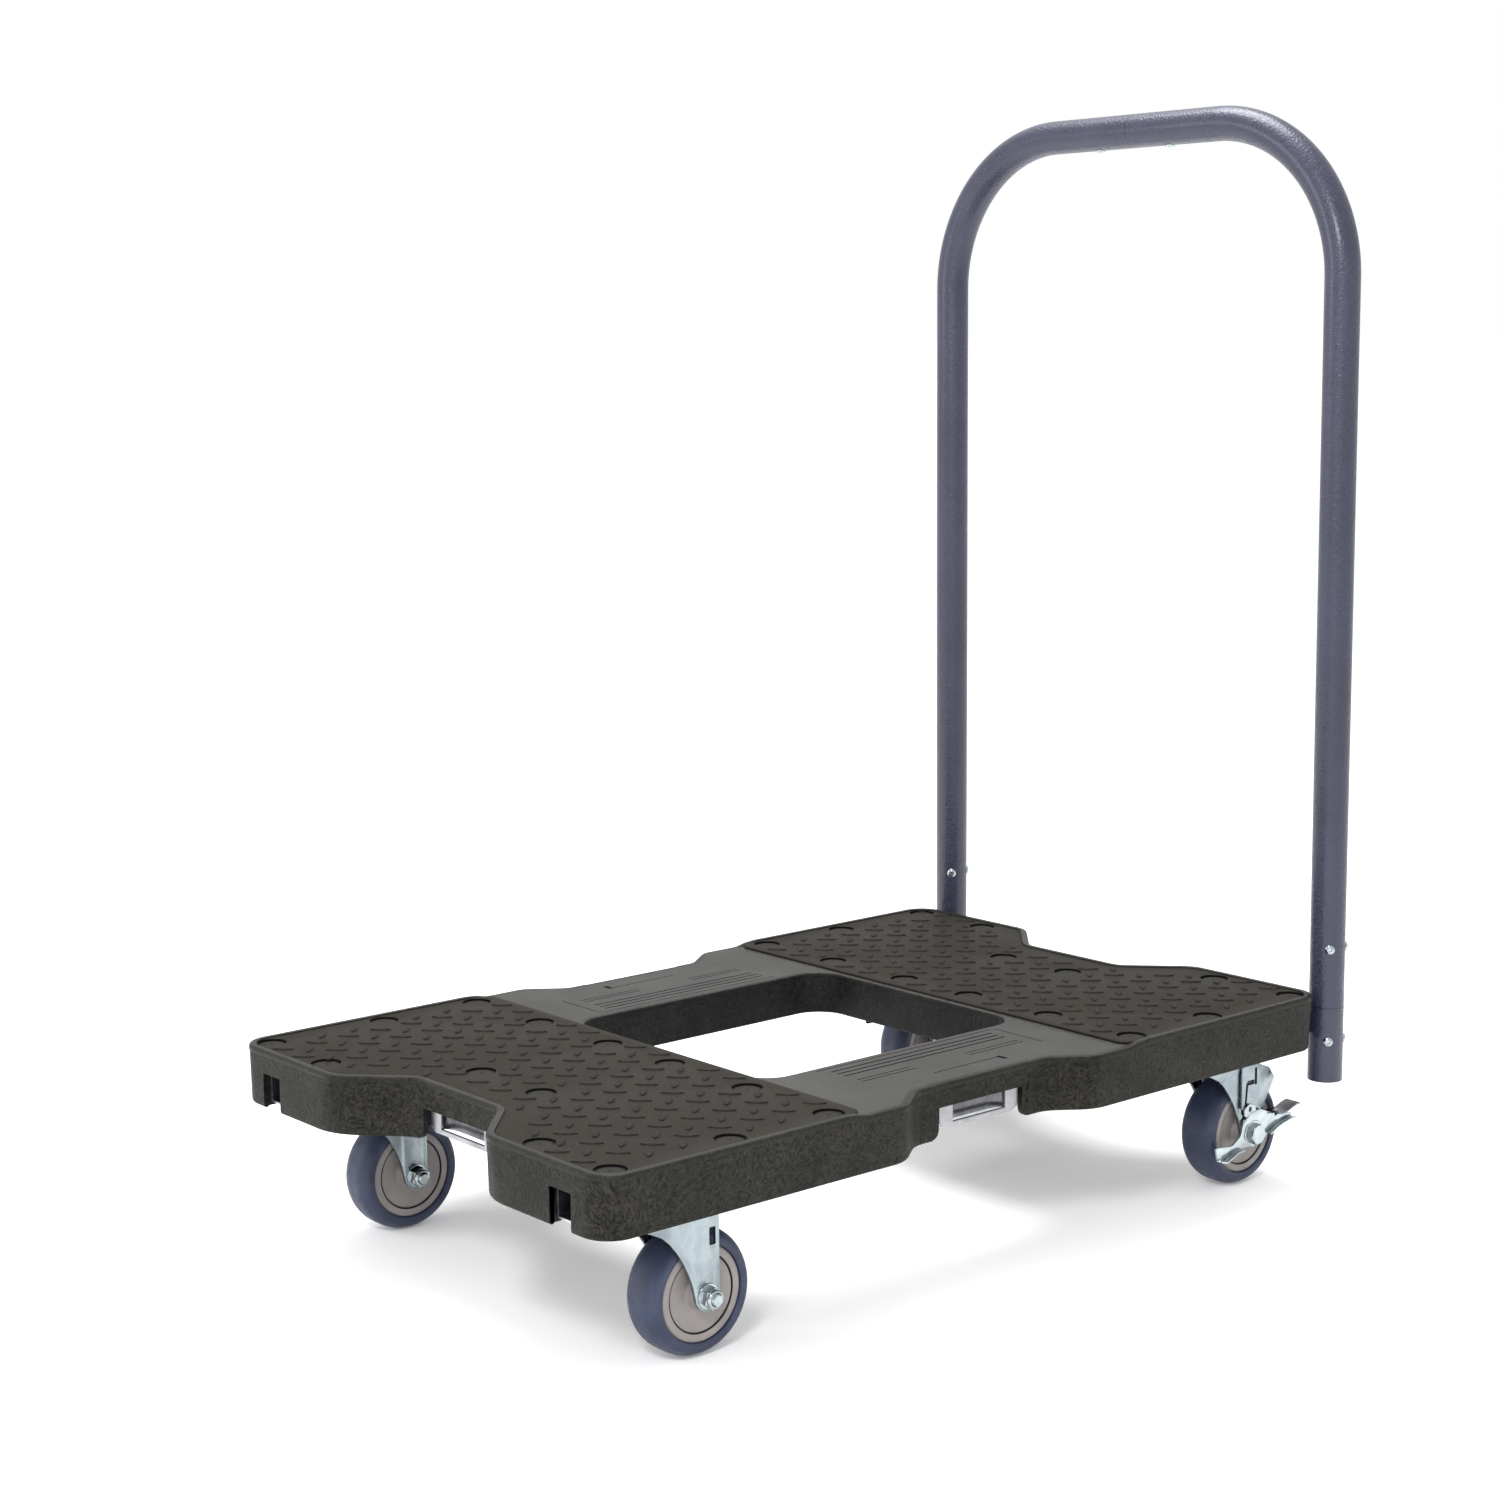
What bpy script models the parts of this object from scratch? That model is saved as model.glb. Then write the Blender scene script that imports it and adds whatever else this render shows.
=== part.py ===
"""Furniture dolly: a moulded deck on four swivel casters, with tread pads, strap anchors and a push bar.

The X axis runs along the deck with the push bar at +X, Y runs across it and Z is up.
The floor is at Z = 0, and the model stands centred on the origin.
"""

import math

import bmesh
import bpy
from mathutils import Matrix, Vector

# Clearance between pieces, how far joined solids overlap, and how far a cutter reaches past its target
GAP = 0.0003
SINK = 0.001
OVERSHOOT = 0.010

# Deck
DECK_LENGTH = 0.8255
DECK_WIDTH = 0.5207
DECK_TOP = 0.1778
DECK_BOTTOM = 0.1270
CORNER_RADIUS = 0.026
NOTCH_DEPTH = 0.050
NOTCH_FLOOR_HALF = 0.058
NOTCH_MOUTH_HALF = 0.110
NOTCH_FLOOR_RADIUS = 0.020
NOTCH_MOUTH_RADIUS = 0.028
NECK_INSET = 0.0255
NECK_HALF = 0.076
NECK_MOUTH_HALF = 0.110
NECK_RADIUS = 0.020
OPENING_HALF_LENGTH = 0.149
OPENING_HALF_WIDTH = 0.1295
OPENING_RADIUS = 0.028
WALL = 0.005
TOP_SKIN = 0.0055
TOP_STEP = 0.0035
EDGE_ROUND = 0.003
RIB_THICKNESS = 0.003
RIB_BOTTOM = 0.1313
RIB_X = (0.185, 0.285, 0.359)
RIB_Y = (0.070, 0.160)
RIM_SLOPE = 0.018

# Tread pads
PAD_RIM = 0.0065
PAD_INNER_EDGE = 0.152
PAD_CORNER_RADIUS = 0.012
PLUG_HOLE_RADIUS = 0.0125
PLUG_PLACES = (
    (0.3910, 0.2395),
    (0.2763, 0.2390),
    (0.1760, 0.2390),
    (0.1760, 0.1416),
    (0.1760, 0.0424),
    (0.3090, 0.0420),
    (0.3906, 0.1515),
)

# Steel rails under the deck, with a square socket at each end
RAIL_SIZE = 0.0254
RAIL_WALL = 0.002
RAIL_CORNER_RADIUS = 0.003
RAIL_Y = 0.2055
RAIL_Z = 0.1440
RAIL_END_INSET = 0.007
RAIL_CHANNEL_GAP = 0.0007

# Strap anchors
ANCHOR_HALF_LENGTH = 0.046
ANCHOR_BOTTOM = 0.1345
ANCHOR_TOP = 0.1660
ANCHOR_THICKNESS = 0.0025
ANCHOR_CORNER_RADIUS = 0.008
SLOT_HALF_LENGTH = 0.030
SLOT_BOTTOM = 0.1390
SLOT_TOP = 0.1530
STRAP_DEPTH = 0.0075
STRAP_THICKNESS = 0.002
STRAP_HALF_LENGTH = 0.036
STRAP_BOW_SHARE = 0.8
STRAP_OVERLAP = 0.0015
ANCHOR_WINDOW_TOP = 0.1540

# Casters
WHEEL_RADIUS = 0.0508
TYRE_HALF_WIDTH = 0.01875
# The tyre's side, as (radius, distance in from its widest plane)
TYRE_SHOULDER = ((0.0440, 0.0), (0.0488, 0.0045), (WHEEL_RADIUS, 0.0105))
TYRE_BEAD_INSET = 0.0015
HUB_RADIUS = 0.0384
HUB_HALF_WIDTH = 0.0200
HUB_RIM_INSET = 0.0020
# The hub's dished face, as (radius, depth below the rim)
HUB_DISH = ((0.0135, 0.0035), (0.0300, 0.0020), (0.0313, 0.0))
HUB_BOSS_RADIUS = 0.0120
CASTER_X = 0.322
CASTER_Y = 0.200
CASTER_TRAIL = 0.034
PLATE_HALF_X = 0.0335
PLATE_HALF_Y = 0.0475
PLATE_THICKNESS = 0.003
PLATE_TOP = 0.1310
PLATE_CORNER_RADIUS = 0.008
PLATE_BOLT_INSET = 0.010
PLATE_BOLT_HOLE_RADIUS = 0.0045
KINGPIN_HEAD_RADIUS = 0.0105
KINGPIN_HEAD_THICKNESS = 0.0032
KINGPIN_RADIUS = 0.0060
KINGPIN_HOLE_RADIUS = 0.0061
RACE_BORE = 0.0110
RACE_RADIUS = 0.0210
RACE_WAIST_RADIUS = 0.0245
CROWN_TOP = 0.1197
CROWN_THICKNESS = 0.0027
CROWN_FRONT = 0.0265
CROWN_CORNER_RADIUS = 0.020
LEG_INNER = 0.0215
LEG_THICKNESS = 0.003
LEG_END_RADIUS = 0.0118
# The leg's swept front edge, as (distance forward of the axle, height)
LEG_SWEEP = ((0.0131, 0.0606), (0.0185, 0.0750), (0.0270, 0.0900), (0.0395, 0.1060), (0.0520, CROWN_TOP))
AXLE_RADIUS = 0.0040
AXLE_HOLE_RADIUS = 0.0044
SLEEVE_RADIUS = 0.00585
SLEEVE_BORE = 0.0045
HUB_BORE = 0.00595
AXLE_NUT_CLEARANCE = 0.0002
AXLE_TIP = 0.0030
NUT_RADIUS = 0.0092
NUT_THICKNESS = 0.0110
BOLT_HEAD_THICKNESS = 0.0053
BRAKE_BOLT_HEAD_RADIUS = 0.0098
BRAKE_BOLT_HEAD_THICKNESS = 0.0058
BRAKE_PLATE_THICKNESS = 0.0018
# Brake plate in X and Z from the swivel axis, as (x, z, corner radius)
BRAKE_PLATE_OUTLINE = (
    (0.0190, 0.0740, 0.002),
    (0.0500, 0.0700, 0.003),
    (0.0650, 0.0970, 0.003),
    (0.0600, 0.1160, 0.006),
    (0.0170, 0.1160, 0.002),
)
BRAKE_SLOT_CENTRE = (0.0360, 0.0960)
BRAKE_SLOT_HALF = (0.0035, 0.0090)
BRAKE_SLOT_RADIUS = 0.0034
LEVER_THICKNESS = 0.0020
# Brake lever in X and Z from the axle: front toe, lower edge, pedal end, then back over the upper lobe
LEVER_OUTLINE = (
    (-0.0560, 0.0005, 0.003),
    (-0.0490, -0.0170, 0.003),
    (-0.0400, -0.0165, 0.004),
    (-0.0120, -0.0120, 0.010),
    (0.0110, -0.0120, 0.006),
    (0.0300, 0.0000, 0.010),
    (0.0560, 0.0085, 0.002),
    (0.0560, 0.0150, 0.002),
    (0.0230, 0.0130, 0.008),
    (0.0080, 0.0185, 0.008),
    (-0.0110, 0.0175, 0.006),
    (-0.0220, 0.0030, 0.010),
)
LEVER_BOSS_RADIUS = 0.0090
PEDAL_TYRE_GAP = 0.0015
PEDAL_WIDTH = 0.016
PEDAL_CENTRE = (0.0430, 0.0125)
PEDAL_LENGTH = 0.028
PEDAL_TILT = math.radians(17)

# Push bar
BAR_RADIUS = 0.0159
BAR_WALL = 0.0018
BAR_X = 0.4389
BAR_HALF_SPACING = 0.2436
BAR_TOP = 0.9638
BAR_BEND_RADIUS = 0.1430
BAR_SEAM_Z = 0.1600
BAR_FOOT_BOTTOM = 0.0900
INNER_SLEEVE_RADIUS = 0.0138
INNER_SLEEVE_BORE = 0.0118
TOP_SLEEVE_HALF = 0.065
LEG_SLEEVE_BOTTOM = 0.100
LEG_SLEEVE_TOP = 0.240
SCREW_LOW_Z = 0.1287
SCREW_HIGH_Z = 0.2151
SCREW_TOP_Y = 0.043
SCREW_HEAD_RADIUS = 0.0045
SCREW_HEAD_HEIGHT = 0.0024
SCREW_SHANK_RADIUS = 0.0022
SCREW_HOLE_RADIUS = 0.0027
SCREW_LENGTH = 0.0080
BAR_BEND_STEPS = 10
PLUG_LENGTH = 0.100
FOOT_ARM_FRONT = 0.4158
FOOT_ARM_REAR = 0.4287
FOOT_ARM_END = 0.2337

# The bar overhangs the deck, so the deck sits forward of the origin by half of that.
FRAME_SHIFT = -(BAR_X + BAR_RADIUS - DECK_LENGTH / 2) / 2

# Facets
ROUND_STEPS = 24
HUB_STEPS = 20
SCREW_STEPS = 8
WHEEL_STEPS = 32
SMALL_STEPS = 16
HOLE_STEPS = 12
BOLT_HOLE_STEPS = 8
LEG_END_STEPS = 6
HEX = 6
ARC_STEP = math.radians(22.5)

PALETTE = {
    "deck_plastic": ((0.028, 0.027, 0.023), 0.55, 0.0),
    "tread_rubber": ((0.030, 0.026, 0.020), 0.75, 0.0),
    "zinc_steel": ((0.60, 0.65, 0.65), 0.32, 1.0),
    "anchor_steel": ((0.55, 0.55, 0.53), 0.40, 1.0),
    "tyre_rubber": ((0.030, 0.040, 0.075), 0.60, 0.0),
    "hub_plastic": ((0.28, 0.24, 0.23), 0.45, 0.0),
    "bar_paint": ((0.050, 0.055, 0.090), 0.40, 0.3),
}


def new_collection(name):
    collection = bpy.data.collections.new(name)
    bpy.context.scene.collection.children.link(collection)
    return collection


def clear_scene():
    for obj in list(bpy.data.objects):
        bpy.data.objects.remove(obj, do_unlink=True)


def make_materials():
    made = {}
    for name, (colour, roughness, metallic) in PALETTE.items():
        material = bpy.data.materials.new(name)
        material.use_nodes = True
        shader = material.node_tree.nodes["Principled BSDF"]
        shader.inputs["Base Color"].default_value = (*colour, 1.0)
        shader.inputs["Roughness"].default_value = roughness
        shader.inputs["Metallic"].default_value = metallic
        made[name] = material
    return made


clear_scene()
PARTS = new_collection("furniture_dolly")
CUTTERS = new_collection("cutters")
MATERIALS = make_materials()


# ---------------------------------------------------------------- outlines

def inset(corners, distance):
    """Moves each side of a counter-clockwise outline inwards, and matches its corner radii."""
    moved = []
    for i, (x, y, radius) in enumerate(corners):
        corner = Vector((x, y))
        before = Vector(corners[i - 1][:2])
        after = Vector(corners[(i + 1) % len(corners)][:2])
        side_in = (corner - before).normalized()
        side_out = (after - corner).normalized()
        turn = side_in.cross(side_out)
        normal_in = Vector((-side_in.y, side_in.x))
        normal_out = Vector((-side_out.y, side_out.x))
        bisector = normal_in + normal_out
        shift = bisector * (2 * distance / bisector.length_squared)
        new_radius = radius - distance if turn > 0 else radius + distance
        moved.append((x + shift.x, y + shift.y, max(new_radius, 0.0)))
    return moved


def rounded(corners):
    """The points of an outline whose corners are (x, y, radius), each radius drawn as an arc."""
    points = []
    for i, (x, y, radius) in enumerate(corners):
        corner = Vector((x, y))
        to_before = (Vector(corners[i - 1][:2]) - corner).normalized()
        to_after = (Vector(corners[(i + 1) % len(corners)][:2]) - corner).normalized()
        if radius <= 0:
            points.append((x, y))
            continue
        half_angle = to_before.angle(to_after) / 2
        bisector = (to_before + to_after).normalized()
        centre = corner + bisector * (radius / math.sin(half_angle))
        start = corner + to_before * (radius / math.tan(half_angle)) - centre
        sweep = math.pi - 2 * half_angle
        if to_after.cross(to_before) < 0:
            sweep = -sweep
        steps = max(2, round(abs(sweep) / ARC_STEP))
        for step in range(steps + 1):
            point = centre + Matrix.Rotation(sweep * step / steps, 2) @ start
            points.append((point.x, point.y))
    return points


def circle(x, y, radius, steps):
    return [
        (x + radius * math.cos(2 * math.pi * i / steps), y + radius * math.sin(2 * math.pi * i / steps))
        for i in range(steps)
    ]


def rectangle(half_x, half_y, radius=0.0, centre=(0.0, 0.0)):
    signs = ((-1, -1), (1, -1), (1, 1), (-1, 1))
    return [(centre[0] + sx * half_x, centre[1] + sy * half_y, radius) for sx, sy in signs]


def mirrored_ends(quarter):
    """A closed outline from its +X +Y quarter, listed from the X axis round to the Y axis."""
    upper = quarter + [(-x, y, r) for x, y, r in reversed(quarter)]
    return upper + [(-x, -y, r) for x, y, r in upper]


def deck_corners():
    half_length = DECK_LENGTH / 2
    half_width = DECK_WIDTH / 2
    quarter = [
        (half_length - NOTCH_DEPTH, NOTCH_FLOOR_HALF, NOTCH_FLOOR_RADIUS),
        (half_length, NOTCH_MOUTH_HALF, NOTCH_MOUTH_RADIUS),
        (half_length, half_width, CORNER_RADIUS),
        (NECK_MOUTH_HALF, half_width, NECK_RADIUS),
        (NECK_HALF, half_width - NECK_INSET, NECK_RADIUS),
    ]
    return mirrored_ends(quarter)


def pad_corners(rim):
    """The +X pad's outline, set in from the deck's edge by the rim."""
    half_length = DECK_LENGTH / 2
    half_width = DECK_WIDTH / 2
    inner = PAD_INNER_EDGE - rim
    platform = [
        (inner, -half_width, PAD_CORNER_RADIUS + rim),
        (half_length, -half_width, CORNER_RADIUS),
        (half_length, -NOTCH_MOUTH_HALF, NOTCH_MOUTH_RADIUS),
        (half_length - NOTCH_DEPTH, -NOTCH_FLOOR_HALF, NOTCH_FLOOR_RADIUS),
        (half_length - NOTCH_DEPTH, NOTCH_FLOOR_HALF, NOTCH_FLOOR_RADIUS),
        (half_length, NOTCH_MOUTH_HALF, NOTCH_MOUTH_RADIUS),
        (half_length, half_width, CORNER_RADIUS),
        (inner, half_width, PAD_CORNER_RADIUS + rim),
    ]
    return inset(platform, rim)


# ---------------------------------------------------------------- solids

def add_object(name, mesh, collection):
    obj = bpy.data.objects.new(name, mesh)
    collection.objects.link(obj)
    return obj


def scratch(name, mesh):
    """An object that only shapes another one."""
    obj = add_object(name, mesh, CUTTERS)
    obj.hide_render = True
    obj.display_type = "WIRE"
    return obj


def evaluated_mesh(obj):
    depsgraph = bpy.context.evaluated_depsgraph_get()
    return bpy.data.meshes.new_from_object(obj.evaluated_get(depsgraph))


def edit_mesh(mesh, operation):
    bm = bmesh.new()
    bm.from_mesh(mesh)
    operation(bm)
    bm.to_mesh(mesh)
    bm.free()


def weld(bm):
    bmesh.ops.remove_doubles(bm, verts=bm.verts, dist=1e-6)


def outward(bm):
    bmesh.ops.recalc_face_normals(bm, faces=bm.faces)
    if bm.calc_volume(signed=True) < 0:
        bmesh.ops.reverse_faces(bm, faces=bm.faces)


def slab(loops, low, high):
    """A flat outline, with any holes as further loops, standing from low to high."""
    curve = bpy.data.curves.new("outline", "CURVE")
    curve.dimensions = "2D"
    curve.fill_mode = "BOTH"
    curve.extrude = (high - low) / 2
    for loop in loops:
        spline = curve.splines.new("POLY")
        spline.points.add(len(loop) - 1)
        for point, (x, y) in zip(spline.points, loop):
            point.co = (x, y, 0.0, 1.0)
        spline.use_cyclic_u = True
    guide = add_object("outline", curve, CUTTERS)
    mesh = evaluated_mesh(guide)
    bpy.data.objects.remove(guide, do_unlink=True)
    mesh.transform(Matrix.Translation((0.0, 0.0, (low + high) / 2)))
    edit_mesh(mesh, weld)
    edit_mesh(mesh, outward)
    return mesh


def block(x, y, z):
    """A box from its three (low, high) spans."""
    bm = bmesh.new()
    size = [high - low for low, high in (x, y, z)]
    middle = [(high + low) / 2 for low, high in (x, y, z)]
    place = Matrix.Translation(middle) @ Matrix.Diagonal((*size, 1.0))
    bmesh.ops.create_cube(bm, size=1.0, matrix=place)
    mesh = bpy.data.meshes.new("block")
    bm.to_mesh(mesh)
    bm.free()
    return mesh


def rod(radius, low, high, steps=SMALL_STEPS):
    """A cylinder up the Z axis."""
    bm = bmesh.new()
    place = Matrix.Translation((0.0, 0.0, (low + high) / 2))
    bmesh.ops.create_cone(
        bm, cap_ends=True, segments=steps, radius1=radius, radius2=radius, depth=high - low, matrix=place
    )
    mesh = bpy.data.meshes.new("rod")
    bm.to_mesh(mesh)
    bm.free()
    return mesh


def turned(profile, steps):
    """A closed profile of (radius, height), turned about the Z axis."""
    bm = bmesh.new()
    verts = [bm.verts.new((radius, 0.0, height)) for radius, height in profile]
    for first, second in zip(verts, verts[1:] + verts[:1]):
        bm.edges.new((first, second))
    outline = bpy.data.meshes.new("profile")
    bm.to_mesh(outline)
    bm.free()
    guide = add_object("profile", outline, CUTTERS)
    screw = guide.modifiers.new("turn", "SCREW")
    screw.steps = steps
    screw.render_steps = steps
    screw.use_merge_vertices = True
    screw.merge_threshold = 1e-5
    mesh = evaluated_mesh(guide)
    bpy.data.objects.remove(guide, do_unlink=True)
    edit_mesh(mesh, outward)
    return mesh


def swept_tube(path, radius, wall, sides):
    """A thin tube along a path of points, open at both ends."""
    curve = bpy.data.curves.new("path", "CURVE")
    curve.dimensions = "3D"
    curve.bevel_depth = radius
    curve.bevel_resolution = sides // 2 - 2
    spline = curve.splines.new("POLY")
    spline.points.add(len(path) - 1)
    for point, place in zip(spline.points, path):
        point.co = (*place, 1.0)
    guide = add_object("path", curve, CUTTERS)
    skin = evaluated_mesh(guide)
    bpy.data.objects.remove(guide, do_unlink=True)
    edit_mesh(skin, weld)
    edit_mesh(skin, outward)
    shell = add_object("skin", skin, CUTTERS)
    solidify = shell.modifiers.new("wall", "SOLIDIFY")
    solidify.thickness = wall
    solidify.offset = -1.0
    solidify.use_even_offset = True
    mesh = evaluated_mesh(shell)
    bpy.data.objects.remove(shell, do_unlink=True)
    return mesh


def combine(mesh, operation, tools):
    """The mesh after a Boolean with each tool mesh in turn."""
    target = add_object("target", mesh, CUTTERS)
    helpers = []
    for tool in tools:
        helper = scratch("tool", tool)
        modifier = target.modifiers.new("shape", "BOOLEAN")
        modifier.operation = operation
        modifier.object = helper
        helpers.append(helper)
    result = evaluated_mesh(target)
    for obj in [target, *helpers]:
        bpy.data.objects.remove(obj, do_unlink=True)
    edit_mesh(result, weld)
    return result


def cut(mesh, *tools):
    return combine(mesh, "DIFFERENCE", tools)


def join(mesh, *tools):
    return combine(mesh, "UNION", tools)


def moved(mesh, *matrices):
    """The mesh after the matrices, the last one first."""
    for matrix in reversed(matrices):
        mesh.transform(matrix)
    if math.prod(matrix.determinant() for matrix in matrices) < 0:
        mesh.flip_normals()
    return mesh


def shift(x=0.0, y=0.0, z=0.0):
    return Matrix.Translation((x, y, z))


def turn(degrees, axis):
    return Matrix.Rotation(math.radians(degrees), 4, axis)


UPRIGHT = turn(90, "X")


def place(name, mesh, material, parent, location=(0.0, 0.0, 0.0)):
    """A finished sub-part, held by its parent empty."""
    obj = add_object(name, mesh, PARTS)
    mesh.name = name
    mesh.materials.clear()
    mesh.materials.append(MATERIALS[material])
    mesh.shade_smooth()
    mesh.set_sharp_from_angle(angle=math.radians(35))
    obj.parent = parent
    obj.location = location
    return obj


def empty(name, parent=None, location=(0.0, 0.0, 0.0)):
    obj = add_object(name, None, PARTS)
    obj.parent = parent
    obj.location = location
    return obj


# ---------------------------------------------------------------- deck

def bevel_top_edge(bm):
    bmesh.ops.dissolve_limit(bm, angle_limit=0.01, verts=bm.verts, edges=bm.edges)
    top = [
        edge
        for edge in bm.edges
        if all(abs(vert.co.z - DECK_TOP) < 1e-6 for vert in edge.verts) and edge.calc_face_angle(0.0) > 1.0
    ]
    bmesh.ops.bevel(bm, geom=top, offset=EDGE_ROUND, segments=2, profile=0.5, affect="EDGES")


def deck_hollow():
    """The space under the top skin, with the ribs left standing."""
    ceiling = DECK_TOP - TOP_STEP - TOP_SKIN
    below = DECK_BOTTOM - OVERSHOOT
    outer = rounded(inset(deck_corners(), WALL))
    surround = rounded(
        rectangle(OPENING_HALF_LENGTH + WALL, OPENING_HALF_WIDTH + WALL, OPENING_RADIUS + WALL)
    )
    hollow = slab([outer, surround], below, ceiling)
    height = (RIB_BOTTOM, ceiling + OVERSHOOT)
    half = RIB_THICKNESS / 2
    ribs = []
    for side in (-1, 1):
        for x in RIB_X:
            ribs.append(block((side * x - half, side * x + half), (-DECK_WIDTH, DECK_WIDTH), height))
        for y in RIB_Y:
            for end in (-1, 1):
                span = sorted((end * RIB_X[0], end * DECK_LENGTH))
                ribs.append(block(span, (side * y - half, side * y + half), height))
    return cut(hollow, *ribs)


def top_recesses():
    """The pads' pockets and the lower band between them, whose ends slope up to the rim."""
    floor = DECK_TOP - TOP_STEP
    above = DECK_TOP + OVERSHOOT
    pocket = rounded(inset(pad_corners(PAD_RIM), -GAP))
    rear = slab([pocket], floor, above)
    front = slab([[(-x, y) for x, y in reversed(pocket)]], floor, above)
    foot = PAD_INNER_EDGE + GAP
    slope = RIM_SLOPE * (above - floor) / TOP_STEP
    ramp = [(-foot, floor), (foot, floor), (foot + slope, above), (-foot - slope, above)]
    band = moved(slab([ramp], -DECK_WIDTH, DECK_WIDTH), UPRIGHT)
    return [rear, front, band]


def rail_channels():
    half = RAIL_SIZE / 2 + RAIL_CHANNEL_GAP
    span_z = (DECK_BOTTOM - OVERSHOOT, RAIL_Z + half)
    return [
        block((-DECK_LENGTH, DECK_LENGTH), (side * RAIL_Y - half, side * RAIL_Y + half), span_z)
        for side in (-1, 1)
    ]


def anchor_windows():
    """Under each anchor's part of the skirt, and the pocket behind the skirt where its plate sits."""
    below = DECK_BOTTOM - OVERSHOOT
    half = ANCHOR_HALF_LENGTH + SINK
    depth = ANCHOR_THICKNESS + STRAP_DEPTH + 3 * GAP
    cutters = []
    faces = ((DECK_LENGTH / 2 - NOTCH_DEPTH, True), (DECK_WIDTH / 2 - NECK_INSET, False))
    for face, along_y in faces:
        back = face - WALL
        for side in (-1, 1):
            window = sorted((side * (back - depth), side * (face + SINK)))
            pocket = sorted((side * (back - depth), side * back))
            if along_y:
                cutters.append(block(window, (-half, half), (below, ANCHOR_WINDOW_TOP)))
                cutters.append(block(pocket, (-half, half), (below, ANCHOR_TOP + GAP)))
            else:
                cutters.append(block((-half, half), window, (below, ANCHOR_WINDOW_TOP)))
                cutters.append(block((-half, half), pocket, (below, ANCHOR_TOP + GAP)))
    return cutters


def build_deck(parent):
    opening = rounded(rectangle(OPENING_HALF_LENGTH, OPENING_HALF_WIDTH, OPENING_RADIUS))
    mesh = slab([rounded(deck_corners())], DECK_BOTTOM, DECK_TOP)
    edit_mesh(mesh, bevel_top_edge)
    through = slab([opening], DECK_BOTTOM - OVERSHOOT, DECK_TOP + OVERSHOOT)
    mesh = cut(mesh, through, deck_hollow(), *top_recesses(), *rail_channels(), *anchor_windows())
    place("deck", mesh, "deck_plastic", parent)


def build_pads(parent):
    outline = rounded(pad_corners(PAD_RIM))
    loops = [outline]
    for x, y in PLUG_PLACES:
        for side in (-1, 1):
            loops.append(circle(x, side * y, PLUG_HOLE_RADIUS, HOLE_STEPS))
    low = DECK_TOP - TOP_STEP + GAP
    for name, angle in (("tread_pad_rear", 0), ("tread_pad_front", 180)):
        place(name, moved(slab(loops, low, DECK_TOP), turn(angle, "Z")), "tread_rubber", parent)


def build_rails(parent):
    half = RAIL_SIZE / 2
    length = DECK_LENGTH / 2 - RAIL_END_INSET
    outer = rounded(rectangle(half, half, RAIL_CORNER_RADIUS))
    inner = rounded(rectangle(half - RAIL_WALL, half - RAIL_WALL))
    for name, side in (("rail_right", -1), ("rail_left", 1)):
        mesh = moved(slab([outer, inner], -length, length), turn(90, "Y"))
        place(name, mesh, "anchor_steel", parent, (0.0, side * RAIL_Y, RAIL_Z))


def anchor_mesh():
    """A slotted plate facing +Y at Y = 0, with a bowed strap behind its slot."""
    middle = (ANCHOR_TOP + ANCHOR_BOTTOM) / 2
    half_height = (ANCHOR_TOP - ANCHOR_BOTTOM) / 2
    plate = rounded(rectangle(ANCHOR_HALF_LENGTH, half_height, ANCHOR_CORNER_RADIUS, (0.0, middle)))
    slot_middle = (SLOT_TOP + SLOT_BOTTOM) / 2
    slot = rounded(rectangle(SLOT_HALF_LENGTH, (SLOT_TOP - SLOT_BOTTOM) / 2, 0.0, (0.0, slot_middle)))
    face = moved(slab([plate, slot], 0.0, ANCHOR_THICKNESS), UPRIGHT)
    back = -ANCHOR_THICKNESS
    foot = STRAP_HALF_LENGTH
    bow = STRAP_BOW_SHARE * foot
    depth = back - STRAP_DEPTH
    inside = [
        (bow - STRAP_THICKNESS, depth + STRAP_THICKNESS),
        (foot - STRAP_THICKNESS, back + SINK),
    ]
    outline = [(foot, back + SINK), *reversed(inside)]
    outline += [(-x, y) for x, y in inside]
    outline += [(-foot, back + SINK), (-bow, depth), (bow, depth)]
    strap = slab([outline], SLOT_BOTTOM - STRAP_OVERLAP, SLOT_TOP + STRAP_OVERLAP)
    return join(face, strap)


def build_anchors(parent):
    end = DECK_LENGTH / 2 - NOTCH_DEPTH - WALL - GAP
    side = DECK_WIDTH / 2 - NECK_INSET - WALL - GAP
    places = (
        ("anchor_left", 0, (0.0, side, 0.0)),
        ("anchor_front", 90, (-end, 0.0, 0.0)),
        ("anchor_right", 180, (0.0, -side, 0.0)),
        ("anchor_rear", 270, (end, 0.0, 0.0)),
    )
    mesh = anchor_mesh()
    for name, angle, location in places:
        obj = place(name, mesh, "anchor_steel", parent, location)
        obj.rotation_euler.z = math.radians(angle)


# ---------------------------------------------------------------- casters

def caster_plate_mesh():
    """The fixed plate with its kingpin, whose head holds the fork up."""
    outline = rounded(rectangle(PLATE_HALF_X, PLATE_HALF_Y, PLATE_CORNER_RADIUS))
    holes = []
    for sx in (-1, 1):
        for sy in (-1, 1):
            centre = (sx * (PLATE_HALF_X - PLATE_BOLT_INSET), sy * (PLATE_HALF_Y - PLATE_BOLT_INSET))
            holes.append(circle(*centre, PLATE_BOLT_HOLE_RADIUS, BOLT_HOLE_STEPS))
    plate = slab([outline, *holes], PLATE_TOP - PLATE_THICKNESS, PLATE_TOP)
    head_top = CROWN_TOP - CROWN_THICKNESS - GAP
    pin = rod(KINGPIN_RADIUS, head_top - SINK, PLATE_TOP - PLATE_THICKNESS / 2)
    head = rod(KINGPIN_HEAD_RADIUS, head_top - KINGPIN_HEAD_THICKNESS, head_top)
    return join(plate, pin, head)


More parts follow.
